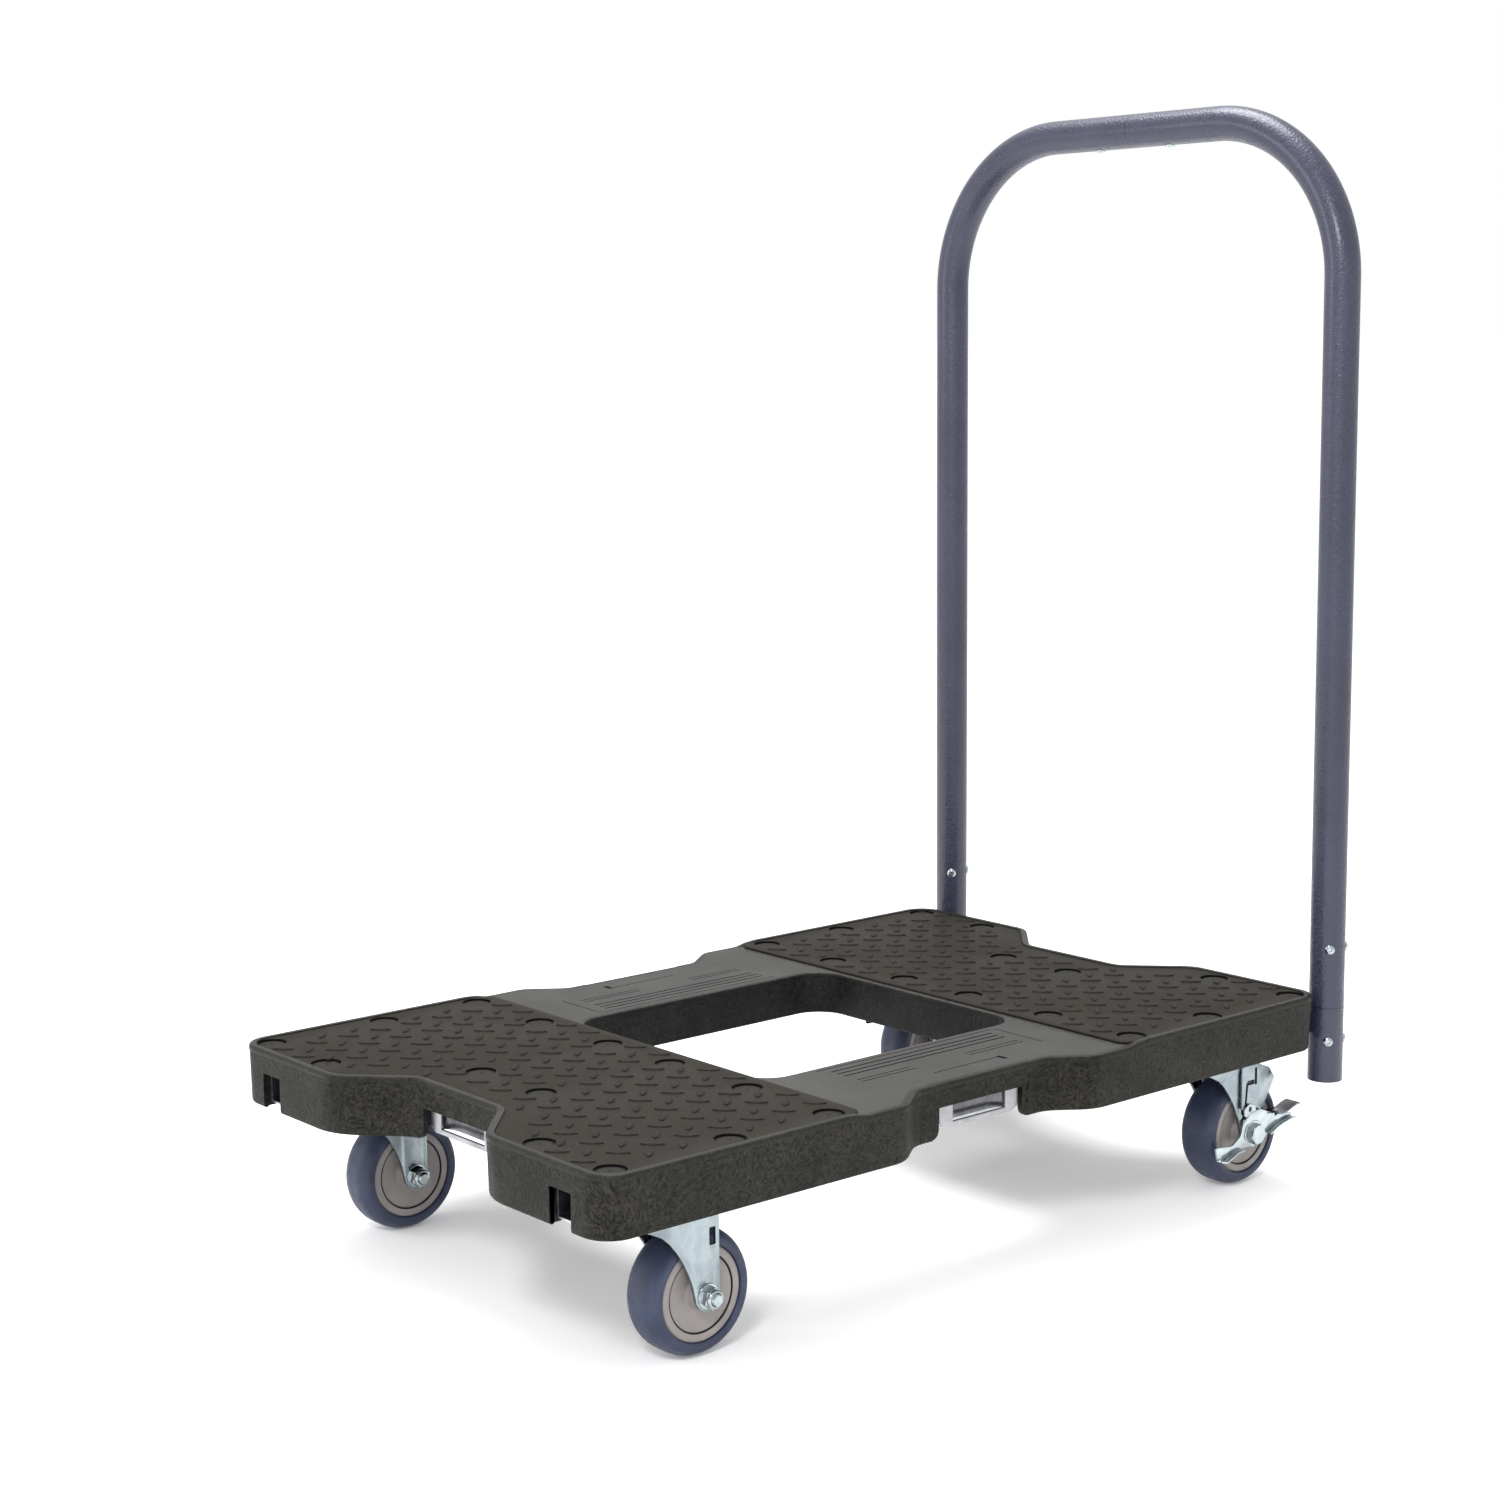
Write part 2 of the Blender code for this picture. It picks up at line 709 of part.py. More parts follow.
def race_mesh():
    """The swivel race ring between the plate and the fork's crown."""
    low = CROWN_TOP + GAP
    high = PLATE_TOP - PLATE_THICKNESS - GAP
    waist = (low + high) / 2
    profile = [
        (RACE_RADIUS, high),
        (RACE_WAIST_RADIUS, waist),
        (RACE_RADIUS, low),
        (RACE_BORE, low),
        (RACE_BORE, high),
    ]
    return turned(profile, HUB_STEPS)


def leg_outline():
    """One fork leg in X and Z, from the swivel axis, with its swept front edge."""
    points = [(CASTER_TRAIL + LEG_END_RADIUS, CROWN_TOP)]
    points += [(CASTER_TRAIL - forward, z) for forward, z in reversed(LEG_SWEEP)]
    for i in range(LEG_END_STEPS + 1):
        angle = math.pi + math.pi * i / LEG_END_STEPS
        x = CASTER_TRAIL + LEG_END_RADIUS * math.cos(angle)
        points.append((x, WHEEL_RADIUS + LEG_END_RADIUS * math.sin(angle)))
    return points


def fork_mesh():
    crown_outline = rounded([
        (-CROWN_FRONT, -LEG_INNER - LEG_THICKNESS, CROWN_CORNER_RADIUS),
        (CASTER_TRAIL + LEG_END_RADIUS, -LEG_INNER - LEG_THICKNESS, 0.0),
        (CASTER_TRAIL + LEG_END_RADIUS, LEG_INNER + LEG_THICKNESS, 0.0),
        (-CROWN_FRONT, LEG_INNER + LEG_THICKNESS, CROWN_CORNER_RADIUS),
    ])
    hole = circle(0.0, 0.0, KINGPIN_HOLE_RADIUS, ROUND_STEPS)
    crown = slab([crown_outline, hole], CROWN_TOP - CROWN_THICKNESS, CROWN_TOP)
    bore = circle(CASTER_TRAIL, WHEEL_RADIUS, AXLE_HOLE_RADIUS, HOLE_STEPS)
    legs = []
    for near in (-LEG_INNER - LEG_THICKNESS, LEG_INNER):
        leg = moved(slab([leg_outline(), bore], -near - LEG_THICKNESS, -near), UPRIGHT)
        legs.append(leg)
    return join(crown, *legs)


def tyre_mesh():
    upper = [(HUB_RADIUS + GAP, TYRE_HALF_WIDTH - TYRE_BEAD_INSET)]
    upper += [(radius, TYRE_HALF_WIDTH - depth) for radius, depth in TYRE_SHOULDER]
    lower = [(radius, -height) for radius, height in reversed(upper)]
    return moved(turned(upper + lower, WHEEL_STEPS), UPRIGHT)


def hub_mesh():
    rim = TYRE_HALF_WIDTH - HUB_RIM_INSET
    upper = [(HUB_BORE, HUB_HALF_WIDTH), (HUB_BOSS_RADIUS, HUB_HALF_WIDTH)]
    upper += [(radius, rim - depth) for radius, depth in HUB_DISH]
    upper.append((HUB_RADIUS, rim))
    lower = [(radius, -height) for radius, height in reversed(upper)]
    return moved(turned(upper + lower, HUB_STEPS), UPRIGHT)


def sleeve_mesh():
    half = LEG_INNER - GAP
    loops = [circle(0.0, 0.0, SLEEVE_RADIUS, SMALL_STEPS), circle(0.0, 0.0, SLEEVE_BORE, SMALL_STEPS)]
    return moved(slab(loops, -half, half), UPRIGHT)


def axle_mesh(head_inner, head_radius, head_thickness, tip):
    """A hex bolt along Y whose head starts at +head_inner and whose shank ends at -tip."""
    shank = rod(AXLE_RADIUS, -tip, head_inner + head_thickness / 2)
    head = rod(head_radius, head_inner, head_inner + head_thickness, HEX)
    return moved(join(head, shank), turn(-90, "X"))


def nut_mesh():
    bore = circle(0.0, 0.0, AXLE_RADIUS + AXLE_NUT_CLEARANCE, HOLE_STEPS)
    loops = [circle(0.0, 0.0, NUT_RADIUS, HEX), bore]
    low = LEG_INNER + LEG_THICKNESS + GAP
    return moved(slab(loops, low, low + NUT_THICKNESS), UPRIGHT)


def brake_plate_mesh():
    """The plate outside the right-hand leg, with a slanted rear edge and a slot."""
    slot = rounded(rectangle(*BRAKE_SLOT_HALF, BRAKE_SLOT_RADIUS, BRAKE_SLOT_CENTRE))
    low = LEG_INNER + LEG_THICKNESS + GAP
    return moved(slab([rounded(BRAKE_PLATE_OUTLINE), slot], low, low + BRAKE_PLATE_THICKNESS), UPRIGHT)


def lever_mesh():
    """The rocking brake lever about the axle, with its boss and its pedal."""
    low = LEG_INNER + LEG_THICKNESS + GAP
    web_low = low + BRAKE_PLATE_THICKNESS + GAP
    bore = circle(0.0, 0.0, AXLE_HOLE_RADIUS, HOLE_STEPS)
    web = slab([rounded(LEVER_OUTLINE), bore], web_low, web_low + LEVER_THICKNESS)
    boss_loops = [circle(0.0, 0.0, LEVER_BOSS_RADIUS, SMALL_STEPS), bore]
    boss = slab(boss_loops, low, web_low + LEVER_THICKNESS / 2)
    pedal_inner = TYRE_HALF_WIDTH + PEDAL_TYRE_GAP
    pedal = block(
        (-PEDAL_LENGTH / 2, PEDAL_LENGTH / 2),
        (-LEVER_THICKNESS / 2, LEVER_THICKNESS / 2),
        (pedal_inner, pedal_inner + PEDAL_WIDTH),
    )
    pedal = moved(pedal, shift(*PEDAL_CENTRE), Matrix.Rotation(PEDAL_TILT, 4, "Z"))
    return moved(join(web, boss, pedal), UPRIGHT)


def build_casters(parent):
    leg_outer = LEG_INNER + LEG_THICKNESS + GAP
    lever_outer = leg_outer + BRAKE_PLATE_THICKNESS + LEVER_THICKNESS + 2 * GAP
    tip = leg_outer + NUT_THICKNESS + AXLE_TIP
    plain_axle = axle_mesh(leg_outer, NUT_RADIUS, BOLT_HEAD_THICKNESS, tip)
    brake_axle = axle_mesh(lever_outer, BRAKE_BOLT_HEAD_RADIUS, BRAKE_BOLT_HEAD_THICKNESS, tip)
    brake_axle = moved(brake_axle, turn(180, "Z"))
    nut = nut_mesh()
    shared = {
        "plate": caster_plate_mesh(),
        "race": race_mesh(),
        "fork": fork_mesh(),
        "sleeve": sleeve_mesh(),
        "hub": hub_mesh(),
        "tyre": tyre_mesh(),
        "brake_plate": brake_plate_mesh(),
        "brake_lever": lever_mesh(),
    }
    nut_far = moved(nut.copy(), turn(180, "Z"))
    for end, end_sign in (("front", -1), ("rear", 1)):
        for side, side_sign in (("right", -1), ("left", 1)):
            tag = f"{end}_{side}"
            swivel = empty(f"swivel_{tag}", parent, (end_sign * CASTER_X, side_sign * CASTER_Y, 0.0))
            axle = empty(f"axle_line_{tag}", swivel, (CASTER_TRAIL, 0.0, WHEEL_RADIUS))
            braked = end == "rear"
            place(f"mount_plate_{tag}", shared["plate"], "zinc_steel", swivel)
            place(f"swivel_race_{tag}", shared["race"], "zinc_steel", swivel)
            place(f"fork_{tag}", shared["fork"], "zinc_steel", swivel)
            place(f"axle_sleeve_{tag}", shared["sleeve"], "zinc_steel", axle)
            place(f"wheel_hub_{tag}", shared["hub"], "hub_plastic", axle)
            place(f"tyre_{tag}", shared["tyre"], "tyre_rubber", axle)
            place(f"axle_bolt_{tag}", brake_axle if braked else plain_axle, "zinc_steel", axle)
            place(f"axle_nut_{tag}", nut_far if braked else nut, "zinc_steel", axle)
            if braked:
                place(f"brake_plate_{tag}", shared["brake_plate"], "zinc_steel", swivel)
                place(f"brake_lever_{tag}", shared["brake_lever"], "zinc_steel", axle)


# ---------------------------------------------------------------- push bar

def bar_half_path():
    """From the top seam out along +Y, round the bend and down to the foot seam."""
    straight = BAR_HALF_SPACING - BAR_BEND_RADIUS
    points = [(0.0, GAP / 2, BAR_TOP)]
    for i in range(BAR_BEND_STEPS + 1):
        angle = math.pi / 2 * i / BAR_BEND_STEPS
        y = straight + BAR_BEND_RADIUS * math.sin(angle)
        z = BAR_TOP - BAR_BEND_RADIUS * (1 - math.cos(angle))
        points.append((0.0, y, z))
    points.append((0.0, BAR_HALF_SPACING, BAR_SEAM_Z + GAP / 2))
    return points


def screw_hole():
    """A hole along +Z that goes through the tube's near wall only."""
    return rod(SCREW_HOLE_RADIUS, BAR_RADIUS - SCREW_LENGTH, BAR_RADIUS + SCREW_LENGTH, SCREW_STEPS)


def leg_screw_frames():
    """Where the two screws of the +Y leg sit, with +Z pointing out of the tube."""
    facing = Vector((-1.0, -1.0, 0.0)).normalized()
    out = facing.to_track_quat("Z", "Y").to_matrix().to_4x4()
    return {
        "lower": shift(0.0, BAR_HALF_SPACING, SCREW_LOW_Z) @ out,
        "upper": shift(0.0, BAR_HALF_SPACING, SCREW_HIGH_Z) @ out,
    }


def top_screw_frame():
    return shift(0.0, SCREW_TOP_Y, BAR_TOP) @ turn(180, "X")


def screw_mesh():
    """A low-headed screw along +Z, whose head sits on the outside of the tube."""
    head_low = BAR_RADIUS + GAP
    head = rod(SCREW_HEAD_RADIUS, head_low, head_low + SCREW_HEAD_HEIGHT, SCREW_STEPS)
    shank = rod(SCREW_SHANK_RADIUS, head_low - SCREW_LENGTH, head_low + SCREW_HEAD_HEIGHT / 2, SCREW_STEPS)
    return join(head, shank)


def tube(radius, bore, low, high):
    return slab([circle(0, 0, radius, SMALL_STEPS), circle(0, 0, bore, SMALL_STEPS)], low, high)


def mirror_side(mesh, side):
    """The +Y piece, or its mirror image on the -Y side."""
    return moved(mesh.copy(), Matrix.Diagonal((1.0, side, 1.0, 1.0)))


def leg_frames_for(side):
    """The leg screws' frames for one side: both legs' screws face the same way."""
    frames = leg_screw_frames()
    drop = shift(0.0, (side - 1) * BAR_HALF_SPACING, 0.0)
    return {level: drop @ frame for level, frame in frames.items()}


def foot_mesh(side):
    """The foot tube with its welded arm and the square plug that enters the rail."""
    foot = tube(BAR_RADIUS, BAR_RADIUS - BAR_WALL, BAR_FOOT_BOTTOM, BAR_SEAM_Z - GAP / 2)
    foot = moved(foot, shift(y=side * BAR_HALF_SPACING))
    plug_half = RAIL_SIZE / 2 - RAIL_WALL - GAP
    rear = FOOT_ARM_REAR - BAR_X
    front = FOOT_ARM_FRONT - BAR_X
    span_z = (RAIL_Z - plug_half, RAIL_Z + plug_half)
    inner = RAIL_Y - plug_half
    arm_y = sorted((side * inner, side * FOOT_ARM_END))
    plug_y = sorted((side * inner, side * (inner + 2 * plug_half)))
    arm = block((front, rear), arm_y, span_z)
    plug = block((front - PLUG_LENGTH, front + SINK), plug_y, span_z)
    return join(foot, arm, plug)


def build_push_bar(parent):
    bar = empty("push_bar", parent, (BAR_X, 0.0, 0.0))
    half = swept_tube(bar_half_path(), BAR_RADIUS, BAR_WALL, SMALL_STEPS)
    half = cut(half, moved(screw_hole(), top_screw_frame()))
    sleeve = tube(INNER_SLEEVE_RADIUS, INNER_SLEEVE_BORE, -TOP_SLEEVE_HALF, TOP_SLEEVE_HALF)
    sleeve = moved(sleeve, shift(z=BAR_TOP), UPRIGHT)
    holes = [mirror_side(moved(screw_hole(), top_screw_frame()), side) for side in (-1, 1)]
    place("top_sleeve", cut(sleeve, *holes), "anchor_steel", bar)
    for name, side in (("right", -1), ("left", 1)):
        frames = leg_frames_for(side)
        low_hole = moved(screw_hole(), frames["lower"])
        high_hole = moved(screw_hole(), frames["upper"])
        centre = shift(0.0, side * BAR_HALF_SPACING, 0.0)
        place(f"bar_half_{name}", cut(mirror_side(half, side), high_hole), "bar_paint", bar)
        leg_sleeve = tube(INNER_SLEEVE_RADIUS, INNER_SLEEVE_BORE, LEG_SLEEVE_BOTTOM, LEG_SLEEVE_TOP)
        leg_sleeve = moved(leg_sleeve, centre)
        place(f"leg_sleeve_{name}", cut(leg_sleeve, low_hole, high_hole), "anchor_steel", bar)
        place(f"bar_foot_{name}", cut(foot_mesh(side), low_hole), "bar_paint", bar)
        for level, frame in frames.items():
            place(f"screw_{level}_{name}", moved(screw_mesh(), frame), "zinc_steel", bar)
        top_screw = mirror_side(moved(screw_mesh(), top_screw_frame()), side)
        place(f"screw_top_{name}", top_screw, "zinc_steel", bar)


def build_dolly():
    frame = empty("dolly_frame", None, (FRAME_SHIFT, 0.0, 0.0))
    build_deck(frame)
    build_pads(frame)
    build_rails(frame)
    build_anchors(frame)
    build_casters(frame)
    build_push_bar(frame)


build_dolly()
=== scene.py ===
"""Furniture dolly: detailed pieces, materials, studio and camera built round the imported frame."""
import math

import bmesh
import bpy
from mathutils import Matrix, Vector


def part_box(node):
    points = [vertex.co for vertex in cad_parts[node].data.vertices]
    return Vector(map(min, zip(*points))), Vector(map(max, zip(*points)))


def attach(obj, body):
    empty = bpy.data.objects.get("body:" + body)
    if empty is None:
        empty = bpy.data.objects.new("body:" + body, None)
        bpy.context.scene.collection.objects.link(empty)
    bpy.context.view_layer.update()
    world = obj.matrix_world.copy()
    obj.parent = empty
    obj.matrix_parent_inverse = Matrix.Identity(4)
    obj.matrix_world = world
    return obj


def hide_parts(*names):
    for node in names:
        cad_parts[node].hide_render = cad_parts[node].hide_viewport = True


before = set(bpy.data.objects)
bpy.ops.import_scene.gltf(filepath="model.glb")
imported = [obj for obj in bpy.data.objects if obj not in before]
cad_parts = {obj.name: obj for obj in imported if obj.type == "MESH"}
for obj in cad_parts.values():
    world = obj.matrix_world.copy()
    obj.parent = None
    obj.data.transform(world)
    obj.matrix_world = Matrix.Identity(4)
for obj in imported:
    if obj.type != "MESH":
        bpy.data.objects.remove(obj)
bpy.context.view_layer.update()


def middle(node):
    low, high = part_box(node)
    return (low + high) / 2


def fraction(distance, width):
    """How far along a width a distance is, from 0 to 1."""
    return min(1.0, max(0.0, distance / width))


def eased(distance, width):
    """The same fraction with a soft start and end."""
    t = fraction(distance, width)
    return t * t * (3 - 2 * t)


# Lengths are in metres. Deck shapes are drawn about the deck's own middle and then moved to it.
DECK_MIDDLE_X = middle("deck").x
DECK_LOW, DECK_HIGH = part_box("deck")
HALF_LENGTH = (DECK_HIGH.x - DECK_LOW.x) / 2
HALF_WIDTH = (DECK_HIGH.y - DECK_LOW.y) / 2
DECK_TOP = DECK_HIGH.z
DECK_BOTTOM = DECK_LOW.z

TOP_STEP = 0.0035
FLOOR = DECK_TOP - TOP_STEP
CEILING = FLOOR - 0.0055
WALL = 0.005
NOTCH_DEPTH = 0.05
NECK_INSET = 0.0255
OPENING = (0.149, 0.1295, 0.028)
PAD_RIM = 0.0065
PAD_INNER_EDGE = 0.152
PAD_CORNER = 0.012
RIM_SLOPE = 0.018
OPENING_BOTTOM = 0.1345
PLUG_PLACES = (
    (0.391, 0.2395),
    (0.2763, 0.239),
    (0.176, 0.239),
    (0.176, 0.1416),
    (0.176, 0.0424),
    (0.309, 0.042),
    (0.3906, 0.1515),
)
PLUG_HOLE = 0.0125
TREAD_PITCH = 0.0327
TREAD_HEIGHT = 0.0012

RAIL_Y = 0.2055
RAIL_Z = 0.144
RAIL_HALF = 0.0127
RAIL_WALL = 0.002
RAIL_END_INSET = 0.007

WHEEL_RADIUS = 0.0508
TYRE_HALF = 0.01875
HUB_RADIUS = 0.0384
TRAIL = 0.034
CROWN_TOP = 0.1197
LEG_OUTER = 0.0245
LEG_INNER = 0.0215
STRIP_HALF = 0.0118
STRIP_DEPTH = 0.0019
CROWN_FRONT = -0.037
CROWN_SHEET = 0.0027
CROWN_BEND = 0.005
NUT_RADIUS = 0.0092
PLATE_BOTTOM = 0.128
PLATE_TOP = 0.131
PLATE_BOLT_X = 0.0235
PLATE_BOLT_Y = 0.0375

BAR_RADIUS = 0.0159
BAR_WALL = 0.0018
BAR_X = 0.4389
BAR_Y = 0.2436
BAR_TOP = 0.9638
BAR_BEND = 0.143
BAR_SEAM = 0.16
FOOT_BOTTOM = 0.09
SCREW_HEIGHTS = (("lower", 0.1287), ("upper", 0.2151))
GRIP_SCREW_Y = 0.043


# A corner rounded by less than this keeps its radius when its outline is inset.
SMALL_ROUND = 0.001


# ---- outlines

def inset(corners, distance):
    """Moves each side of a counter-clockwise outline inwards, and matches its corner radii."""
    result = []
    for i, (x, y, radius) in enumerate(corners):
        corner = Vector((x, y))
        side_in = (corner - Vector(corners[i - 1][:2])).normalized()
        side_out = (Vector(corners[(i + 1) % len(corners)][:2]) - corner).normalized()
        bisector = Vector((-side_in.y - side_out.y, side_in.x + side_out.x))
        step = bisector * (2 * distance / bisector.length_squared)
        new_radius = radius - distance if side_in.cross(side_out) > 0 else radius + distance
        if radius < SMALL_ROUND:
            new_radius = radius
        result.append((x + step.x, y + step.y, max(new_radius, 1e-5)))
    return result


def corner_arc(corners, i):
    """(centre, start, sweep) of the arc that rounds one corner."""
    x, y, radius = corners[i]
    corner = Vector((x, y))
    to_before = (Vector(corners[i - 1][:2]) - corner).normalized()
    to_after = (Vector(corners[(i + 1) % len(corners)][:2]) - corner).normalized()
    half_angle = to_before.angle(to_after) / 2
    centre = corner + (to_before + to_after).normalized() * (radius / math.sin(half_angle))
    start = corner + to_before * (radius / math.tan(half_angle)) - centre
    sweep = math.pi - 2 * half_angle
    return centre, start, sweep if to_after.cross(to_before) > 0 else -sweep


def ring(corners, distance=0.0, spacing=1.0, arc=8, shape=None):
    """Points of a rounded outline set in by a distance. Their number doesn't depend on the distance.

    shape is another outline with as many corners, to follow in place of the first one.
    """
    outline = inset(shape or corners, distance)
    count = len(corners)
    points = []
    for i in range(count):
        centre, start, sweep = corner_arc(outline, i)
        steps = max(2, math.ceil(math.degrees(abs(sweep)) / arc))
        for step in range(steps + 1):
            points.append(centre + Matrix.Rotation(sweep * step / steps, 2) @ start)
        base_centre, base_start, base_sweep = corner_arc(corners, i)
        base_next, next_start, _ = corner_arc(corners, (i + 1) % count)
        run = (base_next + next_start) - (base_centre + Matrix.Rotation(base_sweep, 2) @ base_start)
        following, following_start, _ = corner_arc(outline, (i + 1) % count)
        here, there = points[-1], following + following_start
        pieces = math.ceil(run.length / spacing)
        points += [here.lerp(there, k / pieces) for k in range(1, pieces)]
    return [(point.x, point.y) for point in points]


def rectangle(half_x, half_y, radius, centre=(0.0, 0.0)):
    signs = ((-1, -1), (1, -1), (1, 1), (-1, 1))
    return [(centre[0] + sx * half_x, centre[1] + sy * half_y, radius) for sx, sy in signs]


def disc(x, y, radius):
    """A circle, as an outline of four rounded corners."""
    return rectangle(radius, radius, radius * 0.97, (x, y))


def deck_corners(softer=0.0, draft=0.0):
    """The deck's outline. softer adds to its radii, and draft takes in its long sides."""
    half_width = HALF_WIDTH - draft
    neck = half_width - NECK_INSET
    quarter = [
        (HALF_LENGTH - NOTCH_DEPTH, 0.058, 0.02 + softer),
        (HALF_LENGTH, 0.11, 0.028 + 1.5 * softer),
        (HALF_LENGTH, half_width, 0.026),
        (0.11, half_width, 0.02 + softer),
        (0.076, neck, 0.02 + 0.5 * softer),
        (0.0548, neck, 0.0007),
        (0.054, neck - 0.0013, 0.0007),
    ]
    upper = quarter + [(-x, y, r) for x, y, r in reversed(quarter)]
    return upper + [(-x, -y, r) for x, y, r in upper]


def pad_corners():
    """The rear pad's outline."""
    inner = PAD_INNER_EDGE - PAD_RIM
    floor = HALF_LENGTH - NOTCH_DEPTH
    upper = [
        (floor, 0.058, 0.02),
        (HALF_LENGTH, 0.11, 0.028),
        (HALF_LENGTH, HALF_WIDTH, 0.026),
        (inner, HALF_WIDTH, PAD_CORNER + PAD_RIM),
    ]
    lower = [(x, -y, r) for x, y, r in reversed(upper)]
    return inset(lower + upper, PAD_RIM)


# ---- meshes

def to_mesh(bm, name="piece"):
    mesh = bpy.data.meshes.new(name)
    bm.to_mesh(mesh)
    bm.free()
    return mesh


def add_rows(bm, rows, closed=False, material=None):
    """Quads between rows of points that each go round in a ring. Returns the rows' vertices."""
    made = [[bm.verts.new(point) for point in row] for row in rows]
    pairs = list(zip(made, made[1:])) + ([(made[-1], made[0])] if closed else [])
    for k, (first, second) in enumerate(pairs):
        for i in range(len(first)):
            j = (i + 1) % len(first)
            face = bm.faces.new((first[i], first[j], second[j], second[i]))
            face.material_index = material(k) if material else 0
    return made


def fill(bm, loops, material=0):
    """A flat face over the first loop, with the other loops left open."""
    edges = []
    for loop in loops:
        for i, vert in enumerate(loop):
            edges.append(bm.edges.get((vert, loop[i - 1])) or bm.edges.new((vert, loop[i - 1])))
    made = bmesh.ops.triangle_fill(bm, edges=edges, use_beauty=True, use_dissolve=False)
    for face in made["geom"]:
        if isinstance(face, bmesh.types.BMFace):
            face.material_index = material


def outward(bm):
    bmesh.ops.recalc_face_normals(bm, faces=bm.faces)
    if bm.calc_volume(signed=True) < 0:
        bmesh.ops.reverse_faces(bm, faces=bm.faces)


def capped(rows):
    """A closed mesh over rings of points, with one flat face at each end."""
    bm = bmesh.new()
    made = add_rows(bm, rows)
    bm.faces.new(made[-1])
    bm.faces.new(list(reversed(made[0])))
    outward(bm)
    return to_mesh(bm)


def mark(mesh, index, where=None):
    """Gives faces another of their piece's materials: all of them, or those whose middle passes a test."""
    for polygon in mesh.polygons:
        if where is None or where(polygon.center):
            polygon.material_index = index
    return mesh


def plate(outline, holes, low, high, edge, arc=10, spacing=1.0):
    """A flat plate with rounded edges; outline and holes are lists of (x, y, radius)."""
    bm = bmesh.new()
    soft = 0.3 * edge
    steps = (
        (edge, high), (soft, high - soft), (0.0, high - edge),
        (0.0, low + edge), (soft, low + soft), (edge, low),
    )
    tops, below = [], {}
    for corners, sign in [(outline, 1)] + [(hole, -1) for hole in holes]:
        rows = [[(x, y, z) for x, y in ring(corners, sign * d, spacing, arc)] for d, z in steps]
        made = add_rows(bm, rows)
        tops.append(made[0])
        below.update(zip(made[0], made[-1]))
    fill(bm, tops)
    for face in bm.faces[:]:
        if all(vert in below for vert in face.verts):
            bm.faces.new([below[vert] for vert in reversed(face.verts)])
    outward(bm)
    return to_mesh(bm)


def lathe(profile, steps=64):
    """A closed profile of (radius, height), turned about the Z axis. A point on the axis has radius 0."""
    bm = bmesh.new()
    columns = []
    for radius, height in profile:
        if radius < 1e-6:
            columns.append([bm.verts.new((0.0, 0.0, height))] * steps)
            continue
        angles = [2 * math.pi * i / steps for i in range(steps)]
        columns.append([bm.verts.new((radius * math.cos(a), radius * math.sin(a), height)) for a in angles])
    on_axis = profile[0][0] < 1e-6
    for first, second in zip(columns, columns[1:] + ([] if on_axis else columns[:1])):
        for i in range(steps):
            j = (i + 1) % steps
            corners = []
            for vert in (first[i], first[j], second[j], second[i]):
                if vert not in corners:
                    corners.append(vert)
            if len(corners) > 2:
                bm.faces.new(corners)
    outward(bm)
    return to_mesh(bm)


def soften(profile, steps=3):
    """A profile of (radius, height, rounding) as plain points, open at both ends."""
    points = []
    for i, (x, y, radius) in enumerate(profile):
        if radius <= 0 or i in (0, len(profile) - 1):
            points.append((x, y))
            continue
        corner = Vector((x, y))
        to_before = (Vector(profile[i - 1][:2]) - corner).normalized()
        to_after = (Vector(profile[i + 1][:2]) - corner).normalized()
        for k in range(steps + 1):
            t = k / steps
            start, end = corner + to_before * radius, corner + to_after * radius
            point = start * (1 - t) ** 2 + corner * 2 * t * (1 - t) + end * t ** 2
            points.append((point.x, point.y))
    return points


def tube(path, radius, wall, sides=48):
    """A tube along a path in one plane of constant X, closed at each end by a flat ring."""
    def rows(around, order):
        made = []
        for i in order:
            point = Vector(path[i])
            ahead = Vector(path[min(i + 1, len(path) - 1)])
            behind = Vector(path[max(i - 1, 0)])
            along = (ahead - behind).normalized()
            across = Vector((1.0, 0.0, 0.0))
            other = along.cross(across)
            made.append([
                tuple(point + around * (across * math.cos(a) + other * math.sin(a)))
                for a in (2 * math.pi * k / sides for k in range(sides))
            ])
        return made

    bm = bmesh.new()
    forward = range(len(path))
    outer = rows(radius, forward)
    inner = rows(radius - wall, reversed(forward))
    add_rows(bm, outer + inner, closed=True)
    outward(bm)
    return to_mesh(bm)


def box(x, y, z, edge=0.0):
    """A box from its three (low, high) spans."""
    bm = bmesh.new()
    size = [high - low for low, high in (x, y, z)]
    centre = [(high + low) / 2 for low, high in (x, y, z)]
    bmesh.ops.create_cube(bm, size=1.0, matrix=Matrix.Translation(centre) @ Matrix.Diagonal((*size, 1.0)))
    if edge:
        bmesh.ops.bevel(bm, geom=bm.edges[:], offset=edge, segments=2, profile=0.5, affect="EDGES")
    return to_mesh(bm)


def prism(points, low, high):
    """A plain upright solid over a list of (x, y)."""
    bm = bmesh.new()
    made = add_rows(bm, [[(x, y, z) for x, y in points] for z in (low, high)])
    fill(bm, [made[0]])
    fill(bm, [made[1]])
    outward(bm)
    return to_mesh(bm)


def strip(points, width, low, high):
    """An upright solid of even width that follows a line of (x, y) points."""
    left, right = [], []
    for i, point in enumerate(points):
        ahead = Vector(points[min(i + 1, len(points) - 1)])
        along = (ahead - Vector(points[max(i - 1, 0)])).normalized()
        across = Vector((-along.y, along.x)) * width / 2
        left.append(tuple(Vector(point) + across))
        right.append(tuple(Vector(point) - across))
    return prism(left + right[::-1], low, high)


def moved(mesh, *matrices):
    """The mesh after the matrices, the last one first."""
    for matrix in reversed(matrices):
        mesh.transform(matrix)
    if math.prod(matrix.determinant() for matrix in matrices) < 0:
        mesh.flip_normals()
    return mesh


